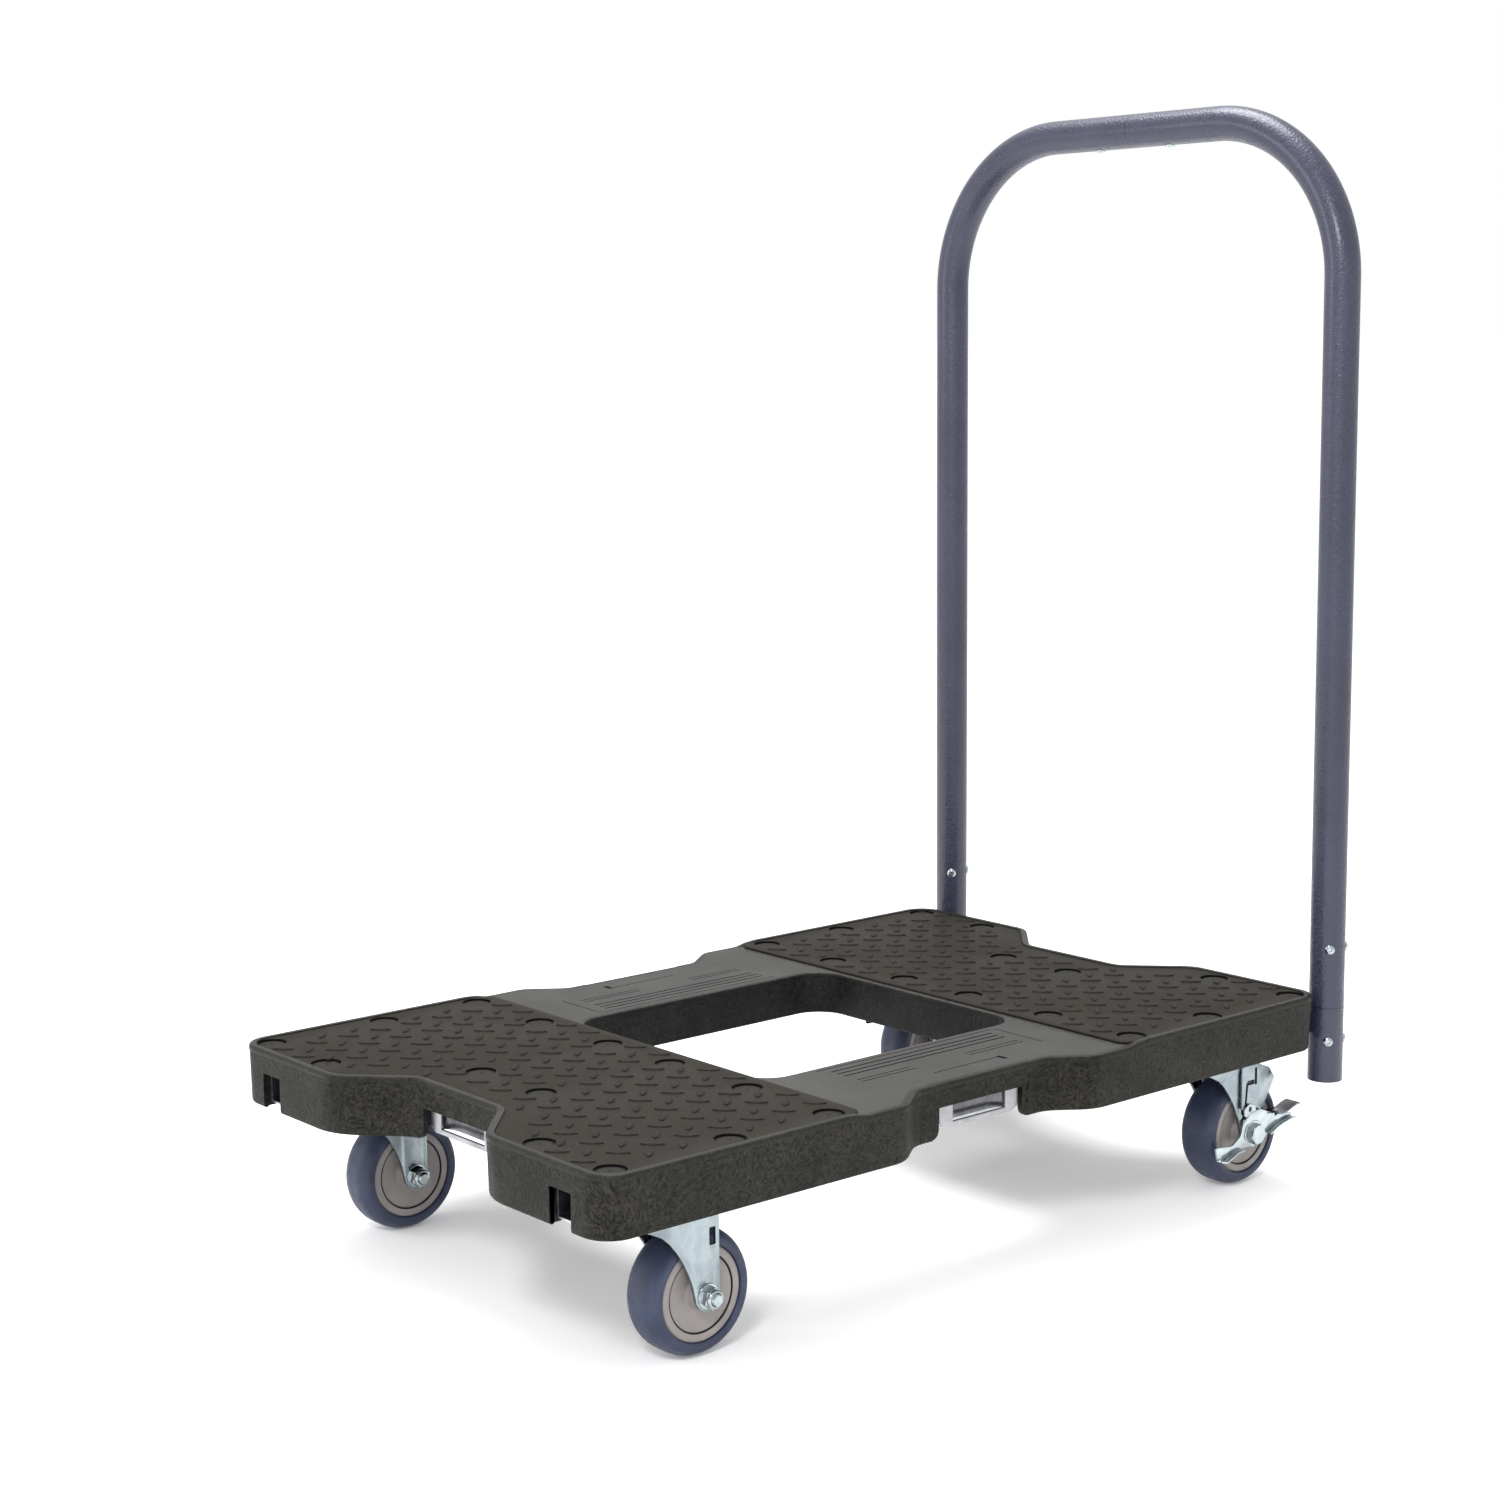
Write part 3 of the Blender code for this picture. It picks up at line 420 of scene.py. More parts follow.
def shift(x=0.0, y=0.0, z=0.0):
    return Matrix.Translation((x, y, z))


def turn(degrees, axis):
    return Matrix.Rotation(math.radians(degrees), 4, axis)


UPRIGHT = turn(90, "X")


def gather(*meshes):
    """Several meshes as one, each with its own faces' materials kept."""
    bm = bmesh.new()
    for mesh in meshes:
        bm.from_mesh(mesh)
    return to_mesh(bm)


def placed(name, data):
    """A new object in the scene."""
    obj = bpy.data.objects.new(name, data)
    bpy.context.scene.collection.objects.link(obj)
    return obj


def modified(target, *helpers):
    """The first object's mesh after its modifiers. All the objects are removed."""
    result = bpy.data.meshes.new_from_object(target.evaluated_get(bpy.context.evaluated_depsgraph_get()))
    for obj in (target, *helpers):
        bpy.data.objects.remove(obj, do_unlink=True)
    return result


def combine(mesh, operation, *tools):
    """The mesh after exact Booleans with all the tools, one after the other."""
    target = placed("target", mesh)
    helpers = [placed("tool", tool) for tool in tools]
    for helper in helpers:
        modifier = target.modifiers.new("shape", "BOOLEAN")
        modifier.operation = operation
        modifier.solver = "EXACT"
        modifier.object = helper
    return modified(target, *helpers)


def bevelled(mesh, width, segments=2, angle=40):
    """The mesh with every sharp edge rounded."""
    obj = placed("bevelled", mesh)
    modifier = obj.modifiers.new("round", "BEVEL")
    modifier.width = width
    modifier.segments = segments
    modifier.limit_method = "ANGLE"
    modifier.angle_limit = math.radians(angle)
    modifier.harden_normals = False
    return modified(obj)


def emit(name, mesh, place, materials, body, replaced=(), smooth=35):
    """Shows a copy of a finished mesh, moved by its place's matrices, as a piece on its CAD body."""
    mesh = moved(mesh.copy(), *place)
    mesh.name = name
    obj = placed(name, mesh)
    indices = [polygon.material_index for polygon in mesh.polygons]
    mesh.materials.clear()
    for material in materials:
        mesh.materials.append(material)
    mesh.polygons.foreach_set("material_index", indices)
    mesh.shade_smooth()
    mesh.set_sharp_from_angle(angle=math.radians(smooth))
    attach(obj, body)
    if replaced:
        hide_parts(*replaced)


# ---- materials

class Surface:
    """One node material. Texture coordinates are the piece's own, in metres."""

    def __init__(self, name, roughness, metallic=0.0, specular=0.5, coat=0.0):
        self.material = bpy.data.materials.new(name)
        self.material.use_nodes = True
        self.tree = self.material.node_tree
        self.shader = self.tree.nodes["Principled BSDF"]
        self.shader.inputs["Roughness"].default_value = roughness
        self.shader.inputs["Metallic"].default_value = metallic
        self.shader.inputs["Specular IOR Level"].default_value = specular
        self.shader.inputs["Coat Weight"].default_value = coat
        self.shader.inputs["Coat Roughness"].default_value = 0.2
        self.place = self.tree.nodes.new("ShaderNodeTexCoord").outputs["Object"]

    def node(self, kind, inputs=(), **settings):
        made = self.tree.nodes.new("ShaderNode" + kind)
        for key, value in settings.items():
            setattr(made, key, value)
        for key, value in dict(inputs).items():
            if isinstance(value, bpy.types.NodeSocket):
                self.tree.links.new(value, made.inputs[key])
            else:
                made.inputs[key].default_value = value
        return made

    def stretched(self, scale, rotation=(0.0, 0.0, 0.0)):
        turned = self.node("Mapping", {"Vector": self.place, "Rotation": rotation, "Scale": scale})
        return turned.outputs["Vector"]

    def patches(self, size, stretch):
        """Coordinates turned at random in each cell, so that a stretched noise makes short strokes."""
        cells = self.node("TexVoronoi", {"Vector": self.place, "Scale": 1 / size, "Randomness": 1.0})
        full_turn = (6.3, 6.3, 6.3)
        angle = self.node("VectorMath", {0: cells.outputs["Color"], 1: full_turn}, operation="MULTIPLY")
        turned = self.node(
            "VectorRotate", {"Vector": self.place, "Rotation": angle.outputs[0]}, rotation_type="EULER_XYZ"
        )
        scaled = self.node("VectorMath", {0: turned.outputs[0], 1: stretch}, operation="MULTIPLY")
        return scaled.outputs[0]

    def noise(self, scale, detail=3.0, roughness=0.55, distortion=0.0, place=None):
        made = self.node("TexNoise", {
            "Vector": place or self.place, "Scale": scale, "Detail": detail,
            "Roughness": roughness, "Distortion": distortion,
        })
        return made.outputs["Fac"]

    def ramp(self, value, low, high, start=0.3, end=0.7):
        """Numbers or colours from low to high, as value goes from start to end."""
        if isinstance(low, (int, float)):
            made = self.node("MapRange", {0: value, 1: start, 2: end, 3: low, 4: high})
            return made.outputs[0]
        made = self.node("ValToRGB", {"Fac": value})
        made.color_ramp.elements[0].position = start
        made.color_ramp.elements[1].position = end
        made.color_ramp.elements[0].color = (*low, 1.0)
        made.color_ramp.elements[1].color = (*high, 1.0)
        return made.outputs["Color"]

    def mix(self, first, second, factor, blend="MIX"):
        made = self.node("Mix", data_type="RGBA", blend_type=blend)
        for key, value in ((0, factor), (6, first), (7, second)):
            if isinstance(value, bpy.types.NodeSocket):
                self.tree.links.new(value, made.inputs[key])
            else:
                made.inputs[key].default_value = value if key == 0 else (*value, 1.0)
        return made.outputs[2]

    def complete(self, colour, roughness, *layers):
        """The material with its colour, its roughness and its bumps of (height socket, depth in metres)."""
        self.tree.links.new(colour, self.shader.inputs["Base Color"])
        if roughness:
            self.tree.links.new(roughness, self.shader.inputs["Roughness"])
        normal = None
        for height, depth in layers:
            inputs = {"Height": height, "Distance": depth, "Strength": 1.0}
            if normal:
                inputs["Normal"] = normal
            normal = self.node("Bump", inputs).outputs["Normal"]
        self.tree.links.new(normal, self.shader.inputs["Normal"])
        return self.material


def moulded(name, dark, light, roughness, grain, swirl=0.0, specular=0.3):
    """Moulded plastic: cloudy colour, fine grain, and swirled strokes where swirl is above nothing."""
    s = Surface(name, roughness, specular=specular)
    cloud = s.noise(16.0, 4.0, 0.6, 0.4)
    strokes = s.noise(420.0, 2.0, 0.55, 0.8, s.patches(0.013, (1.0, 0.22, 1.0)))
    thin = s.noise(900.0, 2.0, 0.6, 0.5, s.patches(0.007, (1.0, 0.18, 1.0)))
    fine = s.noise(1500.0, 2.0)
    colour = s.ramp(cloud, dark, light)
    shade = s.ramp(strokes, (0.3, 0.3, 0.3), (2.1, 2.1, 2.02), 0.36, 0.66)
    colour = s.mix(colour, shade, min(1.0, 0.15 + swirl), "MULTIPLY")
    scratch = s.ramp(thin, 0.0, 0.5 * swirl, 0.6, 0.74)
    colour = s.mix(colour, (0.085, 0.082, 0.074), scratch)
    rough = s.ramp(strokes, roughness - 0.1, roughness + 0.12, 0.3, 0.7)
    least = 0.00001
    bumps = ((strokes, 0.001 * swirl + least), (thin, 0.0005 * swirl + least), (fine, grain))
    return s.complete(colour, rough, *bumps)


def tread(name, dark, light, roughness):
    s = Surface(name, roughness, specular=0.1)
    cloud = s.noise(22.0, 5.0, 0.6, 0.6)
    scuff = s.noise(60.0, 6.0, 0.7, 2.0, s.stretched((1.0, 0.5, 1.0), (0.0, 0.0, 0.6)))
    speck = s.noise(420.0, 2.0, 0.5)
    fine = s.noise(1700.0, 2.0)
    colour = s.ramp(cloud, dark, light)
    colour = s.mix(colour, (0.085, 0.08, 0.07), s.ramp(scuff, 0.0, 0.22, 0.6, 0.8))
    colour = s.mix(colour, (0.075, 0.07, 0.062), s.ramp(speck, 0.0, 0.35, 0.62, 0.76))
    rough = s.ramp(cloud, roughness - 0.08, roughness + 0.08)
    return s.complete(colour, rough, (scuff, 0.00008), (fine, 0.00005))


def metal(name, dark, light, roughness, spread, brushed=(1.0, 1.0, 1.0)):
    """Plated or bare steel with cloudy colour, faint rolling marks and uneven gloss."""
    s = Surface(name, roughness, metallic=1.0)
    cloud = s.noise(38.0, 4.0, 0.6, 0.8)
    marks = s.noise(240.0, 3.0, 0.6, 0.0, s.stretched(brushed))
    fine = s.noise(1900.0, 2.0)
    rough = s.ramp(marks, roughness - spread, roughness + spread)
    return s.complete(s.ramp(cloud, dark, light), rough, (marks, 0.00003), (fine, 0.000015))


def rubber():
    s = Surface("tyre_blue_grey", 0.5, specular=0.45)
    cloud = s.noise(30.0, 5.0, 0.6, 0.8)
    smudge = s.noise(120.0, 4.0, 0.6, 1.0)
    fine = s.noise(1600.0, 2.0)
    colour = s.ramp(cloud, (0.0175, 0.0235, 0.052), (0.033, 0.043, 0.09))
    colour = s.mix(colour, (0.055, 0.062, 0.09), s.ramp(smudge, 0.0, 0.25, 0.6, 0.78))
    return s.complete(colour, s.ramp(smudge, 0.42, 0.62), (smudge, 0.00005), (fine, 0.00003))


def hub_surface(name, dark, light):
    s = Surface(name, 0.42, specular=0.5)
    cloud = s.noise(45.0, 4.0, 0.6, 0.5)
    fleck = s.noise(900.0, 2.0, 0.6)
    colour = s.ramp(cloud, dark, light)
    colour = s.mix(colour, (0.36, 0.33, 0.32), s.ramp(fleck, 0.0, 0.3, 0.62, 0.75))
    return s.complete(colour, s.ramp(cloud, 0.36, 0.5), (cloud, 0.00004), (fleck, 0.00002))


def hammered():
    """Hammertone paint: shallow dimples of a few millimetres with a metallic sparkle."""
    s = Surface("hammertone_blue_grey", 0.38, metallic=0.25, specular=0.5, coat=0.25)
    warped = s.noise(260.0, 2.0, 0.5, 1.5)
    cells = s.node("TexVoronoi", {"Vector": s.place, "Scale": 520.0}, feature="SMOOTH_F1")
    dimples = cells.outputs["Distance"]
    flakes = s.noise(1300.0, 2.0, 0.7)
    cloud = s.noise(14.0, 3.0)
    colour = s.ramp(cloud, (0.025, 0.028, 0.052), (0.038, 0.042, 0.074))
    colour = s.mix(colour, (0.105, 0.11, 0.16), s.ramp(flakes, 0.0, 0.5, 0.6, 0.78))
    colour = s.mix(colour, (0.018, 0.02, 0.038), s.ramp(warped, 0.45, 0.0, 0.3, 0.52))
    rough = s.ramp(warped, 0.3, 0.52, 0.35, 0.65)
    return s.complete(colour, rough, (dimples, 0.00045), (warped, 0.00022), (flakes, 0.00004))


def floor_surface():
    s = Surface("studio_floor", 0.75, specular=0.2)
    s.shader.inputs["Emission Color"].default_value = (1.0, 1.0, 1.0, 1.0)
    s.shader.inputs["Emission Strength"].default_value = 0.15
    colour = s.ramp(s.noise(3.0, 3.0), (0.955, 0.955, 0.955), (0.97, 0.97, 0.97))
    return s.complete(colour, None, (s.noise(300.0, 2.0), 0.00002))


PLASTIC = moulded("deck_grained", (0.0095, 0.009, 0.0075), (0.019, 0.018, 0.0152), 0.48, 0.00006, 0.95, 0.1)
RIM = moulded(
    "deck_rim_polished", (0.0085, 0.0081, 0.0069), (0.016, 0.0152, 0.0132), 0.38, 0.00004, 0.35, 0.16
)
# Smooth bar tops, coloured lighter than the rest of the deck: a painted sheen standing in for the sky they
# reflect.
BAND_SHEEN = moulded("deck_band_smooth_painted_sheen", (0.035, 0.034, 0.0325), (0.046, 0.045, 0.043), 0.5, 0.00005, 0.12, 0.15)
# Smooth plastic for the opening walls, the underside, the cut edges and the ribs, coloured darker than the
# deck's outside: painted shade.
INNER_SHADED = moulded("deck_inner_smooth_painted_shade", (0.006, 0.006, 0.006), (0.012, 0.0118, 0.0115), 0.44, 0.00003, 0.45, 0.1)
# Near-black plastic for the sunk bar lines, the plug holes' walls and the plugs' edges: painted shade in
# these recesses.
GROOVE_SHADE = moulded("groove_painted_shade", (0.003, 0.003, 0.003), (0.005, 0.005, 0.005), 0.6, 0.00003, specular=0.1)
PAD = tread("tread_brown_black", (0.014, 0.012, 0.009), (0.024, 0.0208, 0.016), 0.66)
LOZENGE = tread("tread_lozenge", (0.0095, 0.0082, 0.0064), (0.016, 0.014, 0.0112), 0.6)
PLUG = tread("plug_black", (0.013, 0.0114, 0.009), (0.021, 0.0185, 0.015), 0.55)
ZINC = metal("zinc_plate", (0.215, 0.25, 0.27), (0.33, 0.38, 0.4), 0.27, 0.09, (1.0, 1.0, 0.3))
BRIGHT = metal("zinc_bright", (0.34, 0.385, 0.405), (0.52, 0.575, 0.6), 0.18, 0.07)
YELLOW = metal("zinc_tinted", (0.36, 0.34, 0.27), (0.48, 0.45, 0.36), 0.36, 0.08)
STEEL = metal("anchor_plate", (0.25, 0.25, 0.265), (0.37, 0.37, 0.39), 0.34, 0.07, (0.2, 0.2, 1.0))
# Darker steel for the anchor straps and the brake pedals: painted shade inside the straps and on the pedals'
# trays.
SHADED_STEEL = metal("pressed_steel_painted_shade", (0.06, 0.06, 0.07), (0.17, 0.17, 0.18), 0.24, 0.06)
RAIL = metal("rail_steel", (0.34, 0.36, 0.38), (0.5, 0.53, 0.55), 0.38, 0.08, (0.15, 1.0, 1.0))
# Near-black steel inside the rail tubes and behind the stop plates' slots: painted shade.
BORE_SHADE = metal("rail_bore_painted_shade", (0.03, 0.032, 0.036), (0.07, 0.074, 0.08), 0.45, 0.08, (0.15, 1.0, 1.0))
RUBBER = rubber()
HUB = hub_surface("hub_warm_grey", (0.215, 0.197, 0.192), (0.275, 0.252, 0.245))
# Near black for the hub's groove: painted shade in the groove.
HUB_GROOVE_SHADE = hub_surface("hub_groove_painted_shade", (0.012, 0.011, 0.011), (0.02, 0.019, 0.019))
PAINT = hammered()


# ---- deck

def rise(x):
    """How far the rim stands up at x, from 0 on the middle bars to 1 on the platforms."""
    return eased(abs(x) - PAD_INNER_EDGE, RIM_SLOPE)


def deck_shell():
    corners = deck_corners()
    opening = rectangle(*OPENING)
    bm = bmesh.new()
    # Each row is (inset, height above the floor, share of the rim's rise, material).
    rim = (
        (0.007, 0.0, 0.0, 1),
        (0.0066, 0.0, 0.9, 1),
        (0.0062, 0.0, 1.0, 1),
        (0.0022, 0.0, 1.0, 1),
        (0.0012, -0.0003, 1.0, 1),
        (0.0004, -0.001, 1.0, 1),
        (0.0, -0.0022, 1.0, 1),
        (0.0, -0.0048, 1.0, 0),
        (0.0006, -0.0056, 1.0, 0),
        (0.0006, -0.0085, 0.6, 0),
    )
    rows = []
    for distance, drop, share, _ in rim:
        rows.append([
            (x, y, FLOOR + TOP_STEP * share * rise(x) + drop) for x, y in ring(corners, distance, 0.012, 5)
        ])
    # Each row is (inset, height, share of the draft).
    sides = (
        (0.0004, DECK_BOTTOM + 0.026, 0.45),
        (0.0002, DECK_BOTTOM + 0.003, 1.0),
        (0.0006, DECK_BOTTOM + 0.0013, 1.0),
        (0.0013, DECK_BOTTOM + 0.0004, 1.0),
        (0.0025, DECK_BOTTOM, 1.0),
        (WALL - 0.0012, DECK_BOTTOM, 1.0),
        (WALL, DECK_BOTTOM + 0.001, 1.0),
        (WALL + 0.0012, CEILING, 0.0),
    )
    for distance, height, share in sides:
        shape = deck_corners(0.018 * share, 0.0022 * share)
        rows.append([(x, y, height) for x, y in ring(corners, distance, 0.012, 5, shape)])
    made = add_rows(bm, rows, material=lambda k: rim[k][3] if k < len(rim) else 0)
    lip = (
        (-0.0032, FLOOR),
        (-0.0016, FLOOR - 0.0004),
        (-0.0005, FLOOR - 0.0014),
        (0.0, FLOOR - 0.003),
        (-0.0002, FLOOR - 0.0042),
        (-0.001, FLOOR - 0.0047),
        (-0.0008, OPENING_BOTTOM + 0.0012),
        (-0.002, OPENING_BOTTOM),
        (-WALL + 0.001, OPENING_BOTTOM),
        (-WALL, OPENING_BOTTOM + 0.001),
        (-WALL, CEILING),
    )
    inner = add_rows(
        bm,
        [[(x, y, height) for x, y in ring(opening, distance, 0.05, 5)] for distance, height in lip],
        material=lambda k: 2 if k < 2 else 3,
    )
    # The bars' top between the rim and the opening takes material 2, the painted sheen. So do the first two
    # rows of the opening's lip.
    fill(bm, [made[0], inner[0]], 2)
    # The underside takes material 3, the darker plastic of painted shade. So do the opening's walls below its
    # lip.
    fill(bm, [made[-1], inner[-1]], 3)
    outward(bm)
    return to_mesh(bm)


def window_outline(half, top):
    """An opening in the skirt, in (along, z), whose lower corners flare out with a round."""
    low = DECK_BOTTOM - 0.02
    flare = 0.0085
    right = [(half + flare + 0.02, low), (half + flare + 0.02, DECK_BOTTOM - 0.004)]
    for i in range(9):
        angle = math.pi / 2 * i / 8
        right.append((half + flare * (1 - math.sin(angle)), DECK_BOTTOM + flare * (1 - math.cos(angle))))
    right += [(half, top)]
    return right + [(-x, z) for x, z in reversed(right)]


def deck_cutters():
    cutters = []
    window = window_outline(0.0485, 0.154)
    for side in (-1, 1):
        across = moved(prism(window, -0.025, 0.025), shift(y=side * (HALF_WIDTH - NECK_INSET)), UPRIGHT)
        to_notch = shift(x=side * (HALF_LENGTH - NOTCH_DEPTH))
        along = moved(prism(window, -0.025, 0.025), to_notch, turn(90, "Z"), UPRIGHT)
        channel = RAIL_HALF + 0.0007
        span = (side * RAIL_Y - channel, side * RAIL_Y + channel)
        cutters += [across, along, box((-1.0, 1.0), span, (DECK_BOTTOM - 0.01, RAIL_Z + channel))]
    return cutters


def band_lines():
    """Plain frame lines and grip lines to sink into the two middle bars."""
    paths = [
        ([(-0.098, 0.1383), (0.106, 0.1383), (0.1105, 0.142), (0.1105, 0.196)], 0.0011),
        ([(-0.029, 0.2055), (0.044, 0.2055)], 0.0011),
        ([(0.0475, 0.204), (0.0475, 0.2136)], 0.005),
    ]
    for k in range(3):
        paths.append(([(-0.09, 0.1475 + 0.008 * k), (0.098, 0.1475 + 0.008 * k)], 0.0018))
    for low_x, high_x in ((-0.09, -0.03), (0.033, 0.098)):
        for k in range(2):
            paths.append(([(low_x, 0.179 + 0.006 * k), (high_x, 0.179 + 0.006 * k)], 0.0012))
    lines = [strip(points, width, FLOOR - 0.0006, FLOOR + 0.002) for points, width in paths]
    mirror = Matrix.Diagonal((1.0, -1.0, 1.0, 1.0))
    right = [moved(line, mirror) for line in lines]
    return right + [moved(line.copy(), turn(180, "Z")) for line in right]


def ribs():
    """The stiffening ribs under the platforms, sunk a little into the walls."""
    half = 0.0015
    span = (0.1313, CEILING + 0.0006)
    made = []
    reach = HALF_LENGTH - NOTCH_DEPTH - WALL + 0.0005
    for end in (-1, 1):
        for side in (-1, 1):
            for x in (0.185, 0.285):
                made.append(box(
                    (end * x - half, end * x + half), sorted((side * 0.0005, side * 0.1905)), span
                ))
            for y in (0.07, 0.16):
                near = OPENING[0] + WALL - 0.0005
                far = reach if y < 0.1 else HALF_LENGTH - WALL + 0.0005
                made.append(box(sorted((end * near, end * far)), (side * y - half, side * y + half), span))
            for edge in (RAIL_Y - RAIL_HALF - 0.0032, RAIL_Y + RAIL_HALF + 0.0007):
                made.append(box(
                    sorted((end * (HALF_LENGTH - 0.085), end * (HALF_LENGTH - 0.0012))),
                    sorted((side * edge, side * (edge + 0.0025))),
                    (DECK_BOTTOM + 0.0012, CEILING + 0.0006),
                ))
    return gather(*made)


def build_deck():
    to_deck = shift(DECK_MIDDLE_X)
    materials = [PLASTIC, RIM, BAND_SHEEN, INNER_SHADED, GROOVE_SHADE]
    shell, cutters, lines = deck_shell(), deck_cutters(), band_lines()
    # The cut faces of the windows and the rail channels take material 3, the darker plastic of painted shade.
    for mesh in cutters:
        mark(mesh, 3)
    # The sunk lines' faces take material 4, near black as painted shade.
    for mesh in lines:
        mark(mesh, 4)
    for mesh in [shell, *cutters, *lines]:
        for material in materials:
            mesh.materials.append(material)
    shell = combine(shell, "DIFFERENCE", *cutters, *lines)
    emit("deck_moulding", shell, [to_deck], materials, "deck_frame", ["deck"], 32)
    # The ribs are in the darker plastic of painted shade.
    emit("deck_ribs", ribs(), [to_deck], [INNER_SHADED], "deck_frame")


def lozenge(x, y, direction):
    """One raised tread mark, pointed at both ends, with sloped sides."""
    half_long, half_wide, height = 0.0098, 0.0033, TREAD_HEIGHT
    place = shift(x, y) @ turn(45 * direction, "Z")
    rows = []
    for scale, rise_by in ((1.0, -0.0003), (0.9, 0.45 * height), (0.7, 0.9 * height), (0.35, height)):
        row = []
        for i in range(20):
            angle = 2 * math.pi * i / 20
            along = math.cos(angle)
            across = math.sin(angle) * (1 - abs(along) ** 3 * 0.35)
            stretch = half_long - half_wide * (1 - scale)
            row.append(place @ Vector((stretch * along, half_wide * scale * across, rise_by)))
        rows.append(row)
    return capped(rows)


def inside(point, polygon):
    x, y = point
    result = False
    for i, (x1, y1) in enumerate(polygon):
        x0, y0 = polygon[i - 1]
        if (y1 > y) != (y0 > y) and x < (x0 - x1) * (y - y1) / (y0 - y1) + x1:
            result = not result
    return result


def build_pads():
    outline = pad_corners()
    border = ring(outline, 0.0105)
    plugs = [(x, side * y) for x, y in PLUG_PLACES for side in (-1, 1)]
    top = DECK_TOP - TREAD_HEIGHT
    base = plate(outline, [disc(x, y, PLUG_HOLE) for x, y in plugs], FLOOR + 0.0002, top, 0.0007)
    marks = []
    for column in range(-1, 20):
        for row in range(-20, 21):
            if (column + row) % 2:
                continue
            x = 0.1502 + TREAD_PITCH / 2 * column
            y = TREAD_PITCH / 2 * row
            clear = all(math.hypot(x - px, y - py) > 0.0165 for px, py in plugs)
            if clear and inside((x, y), border):
                marks.append(lozenge(x, y, -1 if column % 2 else 1))

    # Faces round the plug holes take the near-black material: painted shade in the holes.
    def by_plug(place):
        return min((place.xy - Vector(plug)).length for plug in plugs) < PLUG_HOLE + 0.0005

    mark(base, 2, by_plug)
    pad = gather(base, mark(moved(gather(*marks), shift(z=top)), 1))
    plug_profile = soften([
        (0.0, FLOOR + 0.0003, 0),
        (0.0009, FLOOR + 0.0003, 0),
        (0.0013, FLOOR + 0.001, 0.0002),
        (0.007, FLOOR + 0.0009, 0.002),
        (0.0106, FLOOR + 0.0007, 0.0006),
        (0.0112, FLOOR + 0.0003, 0.0002),
        (0.012, FLOOR + 0.0001, 0),
        (0.0, FLOOR + 0.0001, 0),
    ])
    # The plugs' sloping outer edge takes the near-black material: painted shade at the holes' walls.
    plug = mark(lathe(plug_profile, 40), 1, lambda place: place.xy.length > 0.011)
    plug_set = gather(*[moved(plug.copy(), shift(x, y)) for x, y in plugs])
    for name, angle in (("rear", 0), ("front", 180)):
        place = (shift(DECK_MIDDLE_X), turn(angle, "Z"))
        materials = [PAD, LOZENGE, GROOVE_SHADE]
        emit(f"pad_{name}", pad, place, materials, "deck_frame", [f"tread_pad_{name}"])
        emit(f"pad_plugs_{name}", plug_set, place, [PLUG, GROOVE_SHADE], "deck_frame")


def build_rails():
    half = RAIL_HALF
    length = HALF_LENGTH - RAIL_END_INSET
    outer = rectangle(half, half, 0.0032)
    inner = rectangle(half - RAIL_WALL, half - RAIL_WALL, 0.0014)
    mesh = plate(outer, [inner], -length, length, 0.0003, spacing=0.2)
    # The tube's inside faces take material 1, the near-black steel of painted shade.
    mark(mesh, 1, lambda place: max(abs(place.x), abs(place.y)) < half - RAIL_WALL + 0.0002)
    for name, side in (("right", -1), ("left", 1)):
        place = (shift(DECK_MIDDLE_X, side * RAIL_Y, RAIL_Z), turn(90, "Y"))
        emit(f"rail_tube_{name}", mesh, place, [RAIL, BORE_SHADE], "deck_frame", [f"rail_{name}"])


def anchor_mesh():
    """A slotted plate facing +Y at Y = 0, and the strap bowed behind its slot."""
    middle_z = 0.15025
    outline = rectangle(0.046, 0.01575, 0.0095, (0.0, middle_z))
    slot = rectangle(0.0305, 0.0072, 0.0012, (0.0, 0.1461))
    face = moved(plate(outline, [slot], 0.0, 0.0025, 0.0005), UPRIGHT)
    front, back = [], []
    for i in range(25):
        t = -1 + i / 12
        x = 0.036 * t
        depth = -0.0024 - 0.0076 * (1 - t ** 6)
        slope = 0.0076 * 6 * t ** 5 / 0.036
        normal = Vector((-slope, 1.0)).normalized()
        front.append((x, depth))
        back.append((x - 0.0018 * normal.x, depth - 0.0018 * normal.y))
    strap = bevelled(prism(front + back[::-1], 0.1375, 0.1545), 0.0003)
    # The strap takes material 1, the darker steel of painted shade.
    return gather(face, mark(strap, 1))


def build_anchors():
    mesh = anchor_mesh()
    end = HALF_LENGTH - NOTCH_DEPTH - WALL - 0.0003
    side = HALF_WIDTH - NECK_INSET - WALL - 0.0003
    places = (
        ("left", 0, (0.0, side)),
        ("front", 90, (-end, 0.0)),
        ("right", 180, (0.0, -side)),
        ("rear", 270, (end, 0.0)),
    )
    for name, angle, (x, y) in places:
        place = (shift(DECK_MIDDLE_X + x, y), turn(angle, "Z"))
        piece, node, materials = f"strap_anchor_{name}", f"anchor_{name}", [STEEL, SHADED_STEEL]
        emit(piece, mesh, place, materials, "deck_frame", [node])


# ---- casters

def hexagon(radius, low, high, start=0.0):
    """A hex nut or bolt head up the Z axis, its corners cut back at the top."""
    cut = 0.13 * radius
    rows = []
    for height, trim in ((low, 0.0), (high - cut * 0.5, 0.0), (high, cut)):
        row = []
        for i in range(36):
            angle = 2 * math.pi * i / 36 + start
            local = (angle - start + math.pi / 6) % (math.pi / 3) - math.pi / 6
            flat = radius * math.cos(math.pi / 6) / math.cos(math.pi / 6 - abs(local))
            reach = min(flat, radius - trim)
            row.append((reach * math.cos(angle), reach * math.sin(angle), height))
        rows.append(row)
    return capped(rows)


